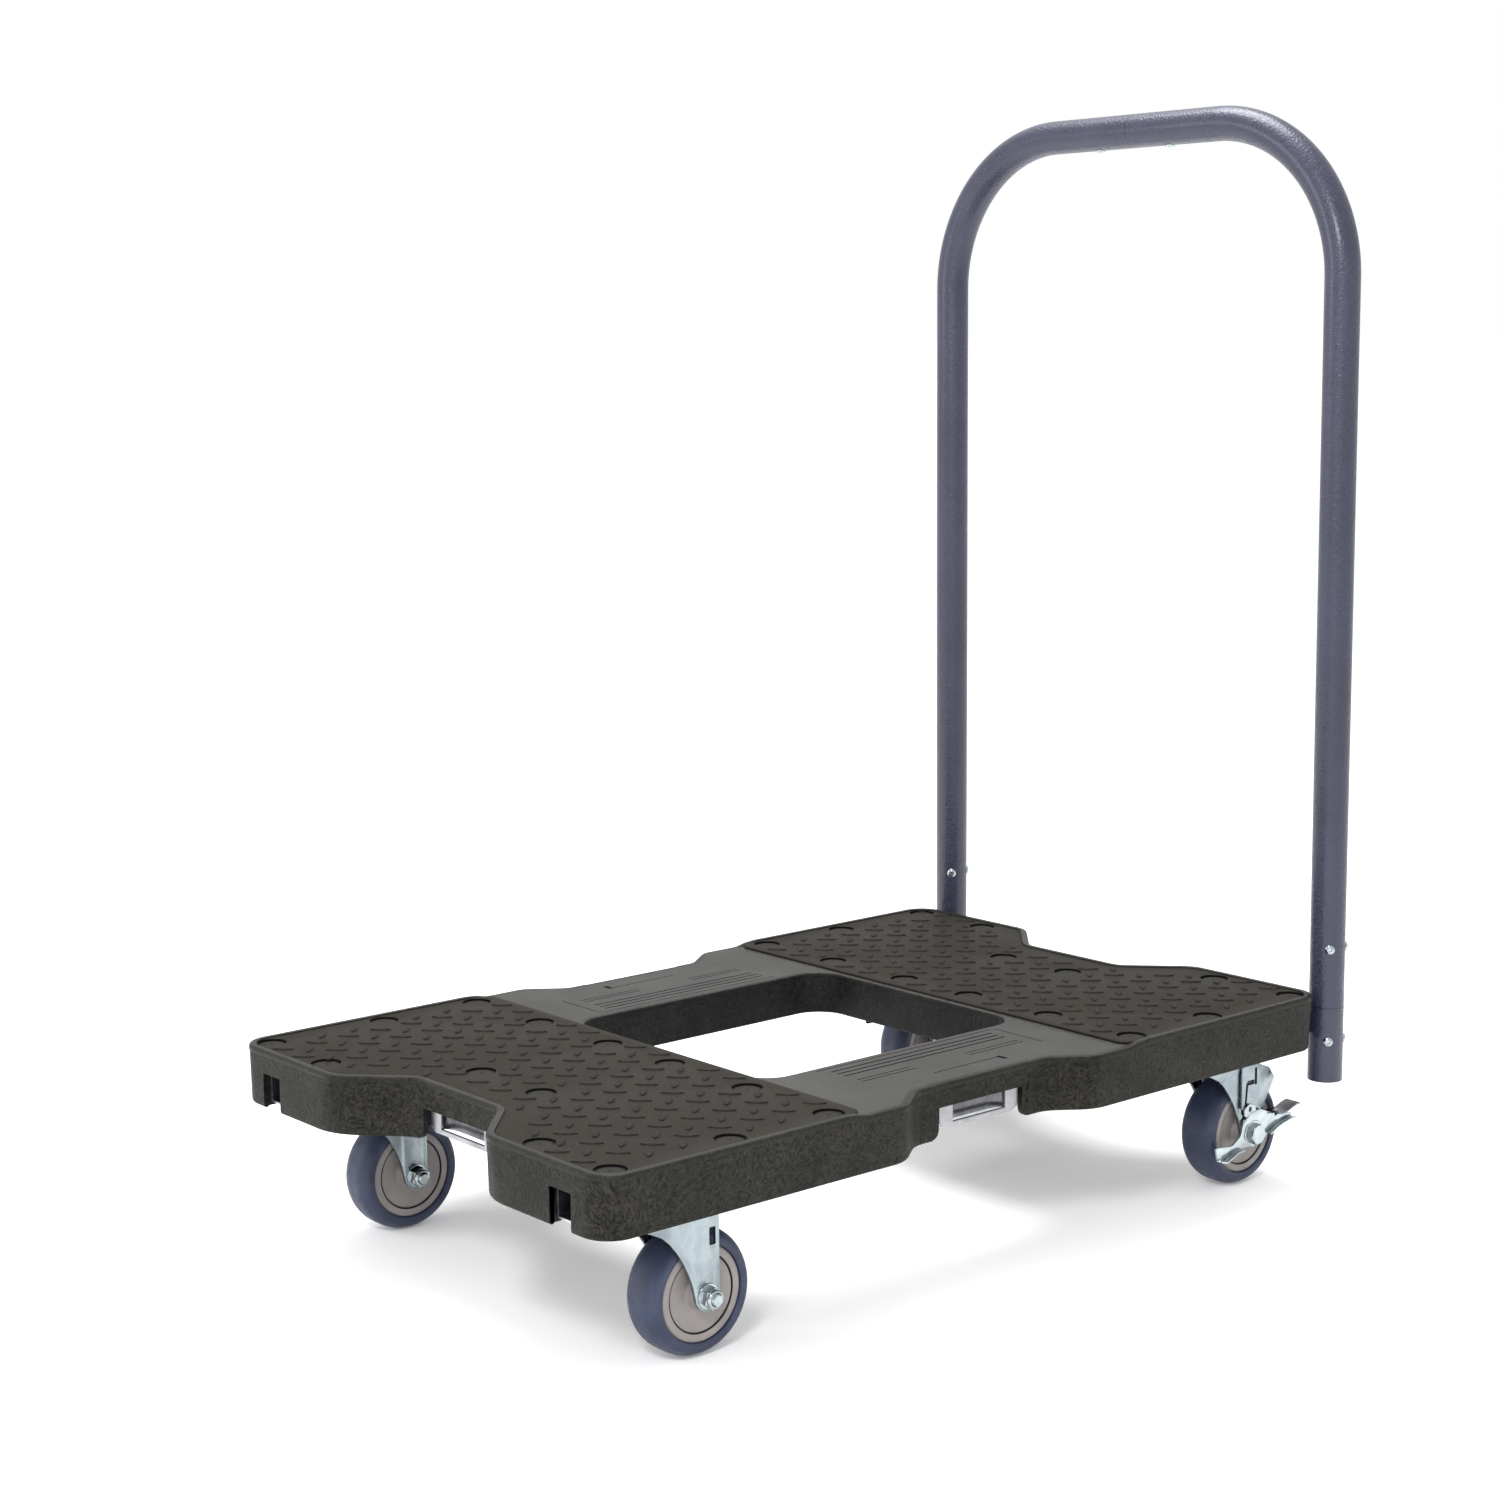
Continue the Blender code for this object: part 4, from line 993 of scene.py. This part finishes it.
def thread(radius, low, high):
    """The end of a threaded bolt up the Z axis."""
    pitch = 0.0015
    profile = [(0.0, low), (radius, low)]
    height = low
    while height + pitch < high - 0.0006:
        for inwards, along in ((0.0, 0.4), (0.0005, 0.7), (0.0, 1.0)):
            profile.append((radius - inwards, height + along * pitch))
        height += pitch
    profile += [(radius, high - 0.0008), (radius - 0.0009, high), (0.0, high)]
    return lathe(profile, 32)


def fork_mesh():
    """A pressed inverted U with a raised upright strip down each leg, about the swivel axis."""
    axle_x = TRAIL
    rear = axle_x + STRIP_HALF
    sweep_edge = (
        (0.0133, 0.06), (0.0146, 0.065), (0.018, 0.073), (0.0225, 0.082), (0.0285, 0.091),
        (0.035, 0.099), (0.043, 0.106), (0.054, 0.1115), (0.064, 0.1155), (0.071, CROWN_TOP + 0.001),
    )
    side = [(rear, CROWN_TOP + 0.001)]
    side += [(axle_x - back, z) for back, z in reversed(sweep_edge)]
    for i in range(25):
        angle = math.pi + math.pi * i / 24
        side.append((axle_x + STRIP_HALF * math.cos(angle), WHEEL_RADIUS + STRIP_HALF * math.sin(angle)))
    legs = moved(prism(side, -0.05, 0.05), UPRIGHT)
    # The U's section in (y, z), rounded at its two upper bends: the outside, then the inside.
    sides = []
    for reach, sheet in ((LEG_OUTER, 0.0), (LEG_INNER, CROWN_SHEET)):
        points = [(-reach, 0.02)]
        top, radius = CROWN_TOP - sheet, CROWN_BEND - sheet
        for i in range(7):
            angle = math.pi / 2 * i / 6
            points.append((-reach + radius * (1 - math.cos(angle)), top - radius * (1 - math.sin(angle))))
        sides.append(points + [(-y, z) for y, z in reversed(points)])
    section = sides[0] + sides[1][::-1]
    bar = moved(prism(section, -0.06, 0.06), turn(90, "Z"), UPRIGHT)
    crown_plan = ring([
        (CROWN_FRONT, -LEG_OUTER, 0.016),
        (rear + 0.001, -LEG_OUTER, 0.001),
        (rear + 0.001, LEG_OUTER, 0.001),
        (CROWN_FRONT, LEG_OUTER, 0.016),
    ])
    column = prism(crown_plan, 0.0, 0.2)
    mesh = combine(bar, "INTERSECT", legs)
    mesh = combine(mesh, "INTERSECT", column)
    slot = ring(rectangle(0.0031, 0.007, 0.0008, (axle_x + 0.0052, 0.0978)))
    mesh = combine(mesh, "DIFFERENCE", moved(prism(slot, -0.05, 0.05), UPRIGHT))
    mesh = bevelled(mesh, 0.0005, 2, 50)
    bm = bmesh.new()
    bm.from_mesh(mesh)
    joggle = (axle_x - STRIP_HALF - 0.003, axle_x - STRIP_HALF + 0.001)
    for k in range(7):
        x = joggle[0] + (joggle[1] - joggle[0]) * k / 6
        everything = bm.verts[:] + bm.edges[:] + bm.faces[:]
        bmesh.ops.bisect_plane(bm, geom=everything, plane_co=(x, 0, 0), plane_no=(1, 0, 0))
    for vert in bm.verts:
        depth = STRIP_DEPTH * (1 - eased(vert.co.x - joggle[0], joggle[1] - joggle[0]))
        fade = fraction(CROWN_TOP - 0.0045 - vert.co.z, 0.012)
        if abs(vert.co.y) > 0.018:
            vert.co.y -= math.copysign(depth * fade, vert.co.y)
    outward(bm)
    return to_mesh(bm)


def wheel_meshes():
    """The tyre and the hub about the axle line, which is the Z axis here."""
    half = TYRE_HALF
    tyre = soften([
        (HUB_RADIUS + 0.0002, half - 0.003, 0),
        (HUB_RADIUS + 0.0006, half - 0.001, 0.0006),
        (0.0425, half, 0.002),
        (0.0462, half - 0.0016, 0.002),
        (0.0496, half - 0.0068, 0.0034),
        (WHEEL_RADIUS, half - 0.012, 0.003),
        (WHEEL_RADIUS, 0.0, 0),
    ], 5)
    tyre += [(r, -h) for r, h in reversed(tyre[:-1])]
    rim = half - 0.0018
    hub = soften([
        (0.006, 0.02, 0),
        (0.0112, 0.02, 0.0008),
        (0.0128, rim - 0.0036, 0.0018),
        (0.0296, rim - 0.0018, 0.001),
        (0.0304, rim - 0.0012, 0.0004),
        (0.0308, rim - 0.0028, 0),
        (0.0315, rim - 0.0028, 0),
        (0.0319, rim - 0.0003, 0.0004),
        (0.0372, rim, 0.001),
        (HUB_RADIUS, rim - 0.0012, 0),
    ], 4)
    hub += [(r, -h) for r, h in reversed(hub)]
    # Faces in the groove take material 1, near black as painted shade.
    groove = (0.03055, 0.03185)
    return lathe(tyre, 128), mark(lathe(hub, 128), 1, lambda place: groove[0] < place.xy.length < groove[1])


def mount_meshes():
    """The fixed plate with its king pin, its bolts, and the ball race, all about the swivel axis."""
    places = [(sx * PLATE_BOLT_X, sy * PLATE_BOLT_Y) for sx in (-1, 1) for sy in (-1, 1)]
    holes = [disc(x, y, 0.0045) for x, y in places]
    body = plate(rectangle(0.0335, 0.0475, 0.008), holes, PLATE_BOTTOM, PLATE_TOP, 0.0005)
    pin = lathe(soften([
        (0.0, 0.1295, 0), (0.0058, 0.1295, 0), (0.0058, 0.1167, 0), (0.01, 0.1166, 0.0004),
        (0.0104, 0.1146, 0.0012), (0.007, 0.1134, 0.001), (0.0, 0.1132, 0),
    ]), 40)
    bolts = []
    for x, y in places:
        head = moved(hexagon(0.0073, 0.0, 0.0043), shift(x, y, 0.1279), turn(180, "X"))
        rim = [(0.0, 0.0, 0), (0.008, 0.0, 0), (0.008, 0.0008, 0.0003), (0.0, 0.0008, 0)]
        bolts += [head, moved(lathe(soften(rim), 32), shift(x, y, 0.1273))]
    race = lathe(soften([
        (0.011, 0.1277, 0), (0.0205, 0.1277, 0.0006), (0.0238, 0.1256, 0.0012),
        (0.0238, 0.1249, 0.0002), (0.0222, 0.1243, 0.0003), (0.0222, 0.1232, 0.0003),
        (0.0238, 0.1226, 0.0002), (0.0238, 0.1219, 0.0012), (0.0212, 0.12, 0.0006), (0.011, 0.12, 0),
    ]), 64)
    return gather(body, pin), gather(*bolts), race


def nut_mesh():
    """A locking nut on the right-hand leg, with its round collar and the bolt's end."""
    base = LEG_OUTER + 0.0002
    washer = lathe(soften([
        (0.0042, base, 0), (0.01, base, 0), (0.01, base + 0.001, 0.0004), (0.0042, base + 0.001, 0),
    ]))
    body = hexagon(NUT_RADIUS, base + 0.001, base + 0.0078, 0.35)
    collar = lathe(soften([
        (0.005, base + 0.007, 0), (0.0076, base + 0.0072, 0), (0.0076, base + 0.01, 0.0014),
        (0.006, base + 0.0108, 0.0005), (0.005, base + 0.01, 0),
    ]), 48)
    end = thread(0.0048, base + 0.005, base + 0.0128)
    return moved(gather(washer, body, collar, end), UPRIGHT)


def bolt_mesh(head_base, head_radius, head_thickness):
    """A hex-headed axle bolt with its head on the +Y side, without the far end."""
    low, high = -0.024, head_base + 0.001
    shank = lathe([(0.0, low), (0.004, low), (0.004, high), (0.0, high)], 32)
    head = hexagon(head_radius, head_base, head_base + head_thickness, 0.2)
    return moved(gather(shank, head), turn(180, "Z"), UPRIGHT)


def brake_plate_mesh():
    """The stop plate outside the right-hand leg. A thin near-black sheet behind its hooked slot is painted
    shadow, so the slot shows dark.
    """
    outline = [
        (0.0195, 0.0745, 0.0015), (0.042, 0.069, 0.003), (0.05, 0.0735, 0.003), (0.0655, 0.0975, 0.0025),
        (0.0575, 0.1085, 0.006), (0.042, 0.1148, 0.006), (0.0195, 0.116, 0.0015),
    ]
    low = LEG_OUTER + 0.0003
    body = plate(outline, [], low, low + 0.0018, 0.0004)
    stem = ring(rectangle(0.0014, 0.015, 0.0005, (0.025, 0.084)))
    arm = ring(rectangle(0.005, 0.0022, 0.0008, (0.0315, 0.0985)))
    hook = ring(rectangle(0.0016, 0.008, 0.0008, (0.0385, 0.1035)))
    lean = shift(0.025, 0.084) @ turn(-6, "Z") @ shift(-0.025, -0.084)
    cutters = [moved(prism(stem, 0.0, 0.05), lean), prism(arm, 0.0, 0.05), prism(hook, 0.0, 0.05)]
    # Outline of the sheet of painted shadow that shows through the slot.
    shade = [
        (0.0215, 0.07), (0.031, 0.07), (0.042, 0.09), (0.042, 0.113), (0.03, 0.113), (0.0215, 0.1),
    ]
    painted_shadow_sheet = mark(prism(shade, LEG_OUTER + 0.0001, low + 0.0002), 1)
    return moved(gather(combine(body, "DIFFERENCE", *cutters), painted_shadow_sheet), UPRIGHT)


def lever_mesh():
    """The rocking brake lever about the axle: a pressed web, its flanged toe, a boss and the pedal."""
    web_low = LEG_OUTER + 0.0024
    web_high = web_low + 0.002
    outline = [
        (-0.053, -0.0035, 0.0015), (-0.0505, -0.015, 0.0015), (-0.0425, -0.0175, 0.002),
        (-0.029, -0.0125, 0.006), (-0.013, -0.0112, 0.008), (0.009, -0.0122, 0.006),
        (0.019, -0.0045, 0.006), (0.034, 0.002, 0.008), (0.0545, 0.0062, 0.0015),
        (0.0545, 0.0092, 0.0012), (0.034, 0.0125, 0.006), (0.022, 0.016, 0.006),
        (0.009, 0.0215, 0.006), (-0.004, 0.0205, 0.006), (-0.015, 0.012, 0.006),
        (-0.018, 0.001, 0.006), (-0.03, -0.006, 0.006),
    ]
    bore = 0.0044
    web = plate(outline, [disc(0.0, 0.0, bore)], web_low, web_high, 0.0005, 12)
    boss = lathe(soften([
        (bore, LEG_OUTER + 0.0004, 0), (0.0088, LEG_OUTER + 0.0004, 0),
        (0.0088, web_low + 0.001, 0), (bore, web_low + 0.001, 0),
    ]), 40)
    collar = lathe(soften([
        (bore, web_high - 0.0002, 0), (0.0125, web_high - 0.0002, 0),
        (0.0118, web_high + 0.0005, 0.0004), (bore, web_high + 0.0005, 0),
    ]), 48)

    def flange(points, inner, outer, thickness):
        return bevelled(strip(points, thickness, inner, outer), 0.0004)

    toe_line = [(-0.05, -0.016), (-0.042, -0.0182), (-0.034, -0.0152), (-0.027, -0.0125), (-0.018, -0.0115)]
    lip_line = [(0.02, -0.004), (0.03, 0.0006), (0.04, 0.0034), (0.05, 0.0052), (0.0565, 0.005)]
    pedal_line = [
        (0.0275, 0.015), (0.034, 0.0138), (0.042, 0.015), (0.05, 0.0178), (0.056, 0.0192), (0.0585, 0.0182),
    ]
    toe = flange(toe_line, web_low + 0.0006, web_high + 0.005, 0.0018)
    lip = flange(lip_line, web_low + 0.0006, web_high + 0.0042, 0.0018)
    pedal = flange(pedal_line, TYRE_HALF + 0.0015, web_high + 0.0062, 0.0022)
    stem = flange([(0.029, 0.012), (0.035, 0.0142)], web_low, web_high, 0.005)
    hook_outline = [
        (-0.0125, 0.016, 0.003), (0.004, 0.019, 0.003), (0.002, 0.0262, 0.003),
        (-0.006, 0.029, 0.004), (-0.013, 0.025, 0.004),
    ]
    hook = plate(hook_outline, [disc(-0.005, 0.0235, 0.0022)], web_low - 0.0002, web_high - 0.0003, 0.0005)
    # The pedal takes material 1, the darker steel of painted shade.
    return moved(gather(web, boss, collar, toe, lip, mark(pedal, 1), stem, hook), UPRIGHT)


def build_casters():
    fork = fork_mesh()
    tyre, hub = wheel_meshes()
    plate_mesh, bolts, race = mount_meshes()
    sleeve = lathe([(0.0045, -0.0212), (0.00585, -0.0212), (0.00585, 0.0212), (0.0045, 0.0212)], 32)
    nut = nut_mesh()
    far_nut = moved(nut.copy(), turn(180, "Z"))
    plain_bolt = bolt_mesh(LEG_OUTER + 0.0003, NUT_RADIUS, 0.0053)
    brake_bolt = moved(bolt_mesh(LEG_OUTER + 0.0049, 0.0098, 0.0056), turn(180, "Z"))
    stop, lever = brake_plate_mesh(), lever_mesh()
    for tag in ("front_right", "front_left", "rear_right", "rear_left"):
        swivel = middle(f"swivel_race_{tag}")
        axle = middle(f"axle_sleeve_{tag}")
        at_swivel = [shift(swivel.x, swivel.y)]
        at_axle = [shift(axle.x, axle.y, axle.z)]
        across = [*at_axle, UPRIGHT]
        body, wheel, braked = f"caster_{tag}", f"wheel_{tag}", tag.startswith("rear")
        bolt, shown_nut = (brake_bolt, far_nut) if braked else (plain_bolt, nut)
        # Each row is (piece, mesh, place, materials, body, slot, replaced node, angle of sharp edges).
        rows = [
            ("plate", plate_mesh, at_swivel, [YELLOW], "deck_frame", "zinc_steel", "mount_plate", 35),
            ("plate_bolts", bolts, at_swivel, [BRIGHT], "deck_frame", "zinc_steel", None, 35),
            ("race", race, at_swivel, [YELLOW], body, "zinc_steel", "swivel_race", 35),
            ("fork_pressing", fork, at_swivel, [ZINC], body, "zinc_steel", "fork", 35),
            ("sleeve", sleeve, across, [ZINC], body, "zinc_steel", "axle_sleeve", 35),
            ("tyre_tread", tyre, across, [RUBBER], wheel, "tyre_rubber", "tyre", 40),
            ("hub", hub, across, [HUB, HUB_GROOVE_SHADE], wheel, "hub_plastic", "wheel_hub", 30),
            ("bolt", bolt, at_axle, [BRIGHT], body, "zinc_steel", "axle_bolt", 25),
            ("nut", shown_nut, at_axle, [BRIGHT], body, "zinc_steel", "axle_nut", 25),
        ]
        if braked:
            brake = f"brake_{tag}"
            rows += [
                ("stop_plate", stop, at_swivel, [ZINC, BORE_SHADE], body, "zinc_steel", "brake_plate", 35),
                ("lever", lever, at_axle, [BRIGHT, SHADED_STEEL], brake, "zinc_steel", "brake_lever", 30),
            ]
        for name, mesh, place, materials, on, slot, node, smooth in rows:
            replaced = [f"{node}_{tag}"] if node else ()
            emit(f"{name}_{tag}", mesh, place, materials, on, replaced, smooth)


# ---- push bar

def bar_half_path():
    straight = BAR_Y - BAR_BEND
    points = [(0.0, 0.00015, BAR_TOP)]
    for i in range(41):
        angle = math.pi / 2 * i / 40
        drop = BAR_BEND * (1 - math.cos(angle))
        points.append((0.0, straight + BAR_BEND * math.sin(angle), BAR_TOP - drop))
    points.append((0.0, BAR_Y, BAR_SEAM + 0.00015))
    return points


def screw_mesh():
    """A button-headed screw up the Z axis from the tube's surface, with a socket."""
    base = BAR_RADIUS - 0.0004
    return lathe(soften([
        (0.0, base + 0.0014, 0), (0.0013, base + 0.0014, 0), (0.0016, base + 0.0026, 0.0002),
        (0.0026, base + 0.0025, 0.0003), (0.0044, base + 0.0014, 0.0008), (0.0047, base, 0),
        (0.0022, base, 0), (0.0022, base - 0.005, 0), (0.0, base - 0.005, 0),
    ]), 32)


def build_push_bar():
    to_bar = shift(DECK_MIDDLE_X + BAR_X)
    for sleeve in ("top_sleeve", "leg_sleeve_left", "leg_sleeve_right"):
        for slot in bpy.data.objects[sleeve].material_slots:
            slot.material = RAIL
    grip = RAIL_HALF - RAIL_WALL - 0.0003
    across, upwards = (RAIL_Y - grip, RAIL_Y + grip), (RAIL_Z - grip, RAIL_Z + grip)
    half = tube(bar_half_path(), BAR_RADIUS, BAR_WALL, 56)
    foot = gather(
        tube([(0.0, BAR_Y, BAR_SEAM - 0.0002), (0.0, BAR_Y, FOOT_BOTTOM)], BAR_RADIUS, BAR_WALL, 56),
        box((-0.0231, -0.0102), (RAIL_Y - grip, BAR_Y - 0.0099), upwards, 0.0008),
        box((-0.1231, -0.0221), across, upwards, 0.0008),
    )
    screw = screw_mesh()
    for name, side in (("left", 1), ("right", -1)):
        place = (to_bar, Matrix.Diagonal((1.0, side, 1.0, 1.0)))
        emit(f"bar_{name}", half, place, [PAINT], "push_bar", [f"bar_half_{name}"], 50)
        emit(f"foot_{name}", foot, place, [PAINT], "push_bar", [f"bar_foot_{name}"], 50)
        for level, height in SCREW_HEIGHTS:
            for facing, direction in (("front", (-1, -1, 0)), ("back", (1, -1, 0))):
                out = Vector(direction).normalized().to_track_quat("Z", "Y").to_matrix().to_4x4()
                place = (to_bar, shift(0.0, side * BAR_Y, height), out)
                piece = f"leg_screw_{level}_{facing}_{name}"
                replaced = [f"screw_{level}_{name}"] if facing == "front" else ()
                emit(piece, screw, place, [BRIGHT], "push_bar", replaced)
        place = (to_bar, shift(0.0, side * GRIP_SCREW_Y, BAR_TOP), turn(180, "X"))
        emit(f"grip_screw_{name}", screw, place, [BRIGHT], "push_bar", [f"screw_top_{name}"])


# ---- studio

LENS_MM = 64.378
SENSOR_MM = 36.0
LENS_SHIFT = (0.04024, -0.01041)
CAMERA_PLACE = (-1.558, -1.7394, 0.7732)
CAMERA_RIGHT = (0.77314, -0.63411, -0.01242)
CAMERA_UP = (0.10176, 0.10469, 0.98929)
CAMERA_AHEAD = (0.62602, 0.76612, -0.14546)


def build_studio():
    floor = placed("floor", box((-300, 300), (-300, 300), (-0.02, -0.0003)))
    floor.data.materials.append(floor_surface())
    bpy.context.scene.view_settings.view_transform = "Standard"
    world = bpy.data.worlds.new("studio")
    bpy.context.scene.world = world
    world.use_nodes = True
    background = world.node_tree.nodes["Background"]
    background.inputs["Color"].default_value = (1.0, 1.0, 1.0, 1.0)
    background.inputs["Strength"].default_value = 1.0
    # Each lamp is (name, place, diameter, watts), and points at the middle of the deck.
    lamps = (
        ("key", (-1.7, -1.3, 1.7), 0.5, 26.0),
        ("top", (0.3, 0.5, 2.8), 1.6, 75.0),
        ("side", (-2.0, 1.4, 1.2), 0.9, 12.0),
    )
    for name, place, size, power in lamps:
        light = bpy.data.lights.new(name, "AREA")
        light.shape = "DISK"
        light.size = size
        light.energy = power
        lamp = placed(name, light)
        lamp.location = place
        lamp.rotation_euler = (Vector((0.0, 0.0, 0.25)) - Vector(place)).to_track_quat("-Z", "Y").to_euler()


def build_camera():
    lens = bpy.data.cameras.new("camera")
    lens.lens = LENS_MM
    lens.sensor_width = SENSOR_MM
    lens.shift_x, lens.shift_y = LENS_SHIFT
    camera = placed("camera", lens)
    back = [-v for v in CAMERA_AHEAD]
    axes = Matrix((CAMERA_RIGHT, CAMERA_UP, back)).transposed().to_4x4()
    camera.matrix_world = Matrix.Translation(CAMERA_PLACE) @ axes
    bpy.context.scene.camera = camera


build_deck()
build_pads()
build_rails()
build_anchors()
build_casters()
build_push_bar()
build_studio()
build_camera()
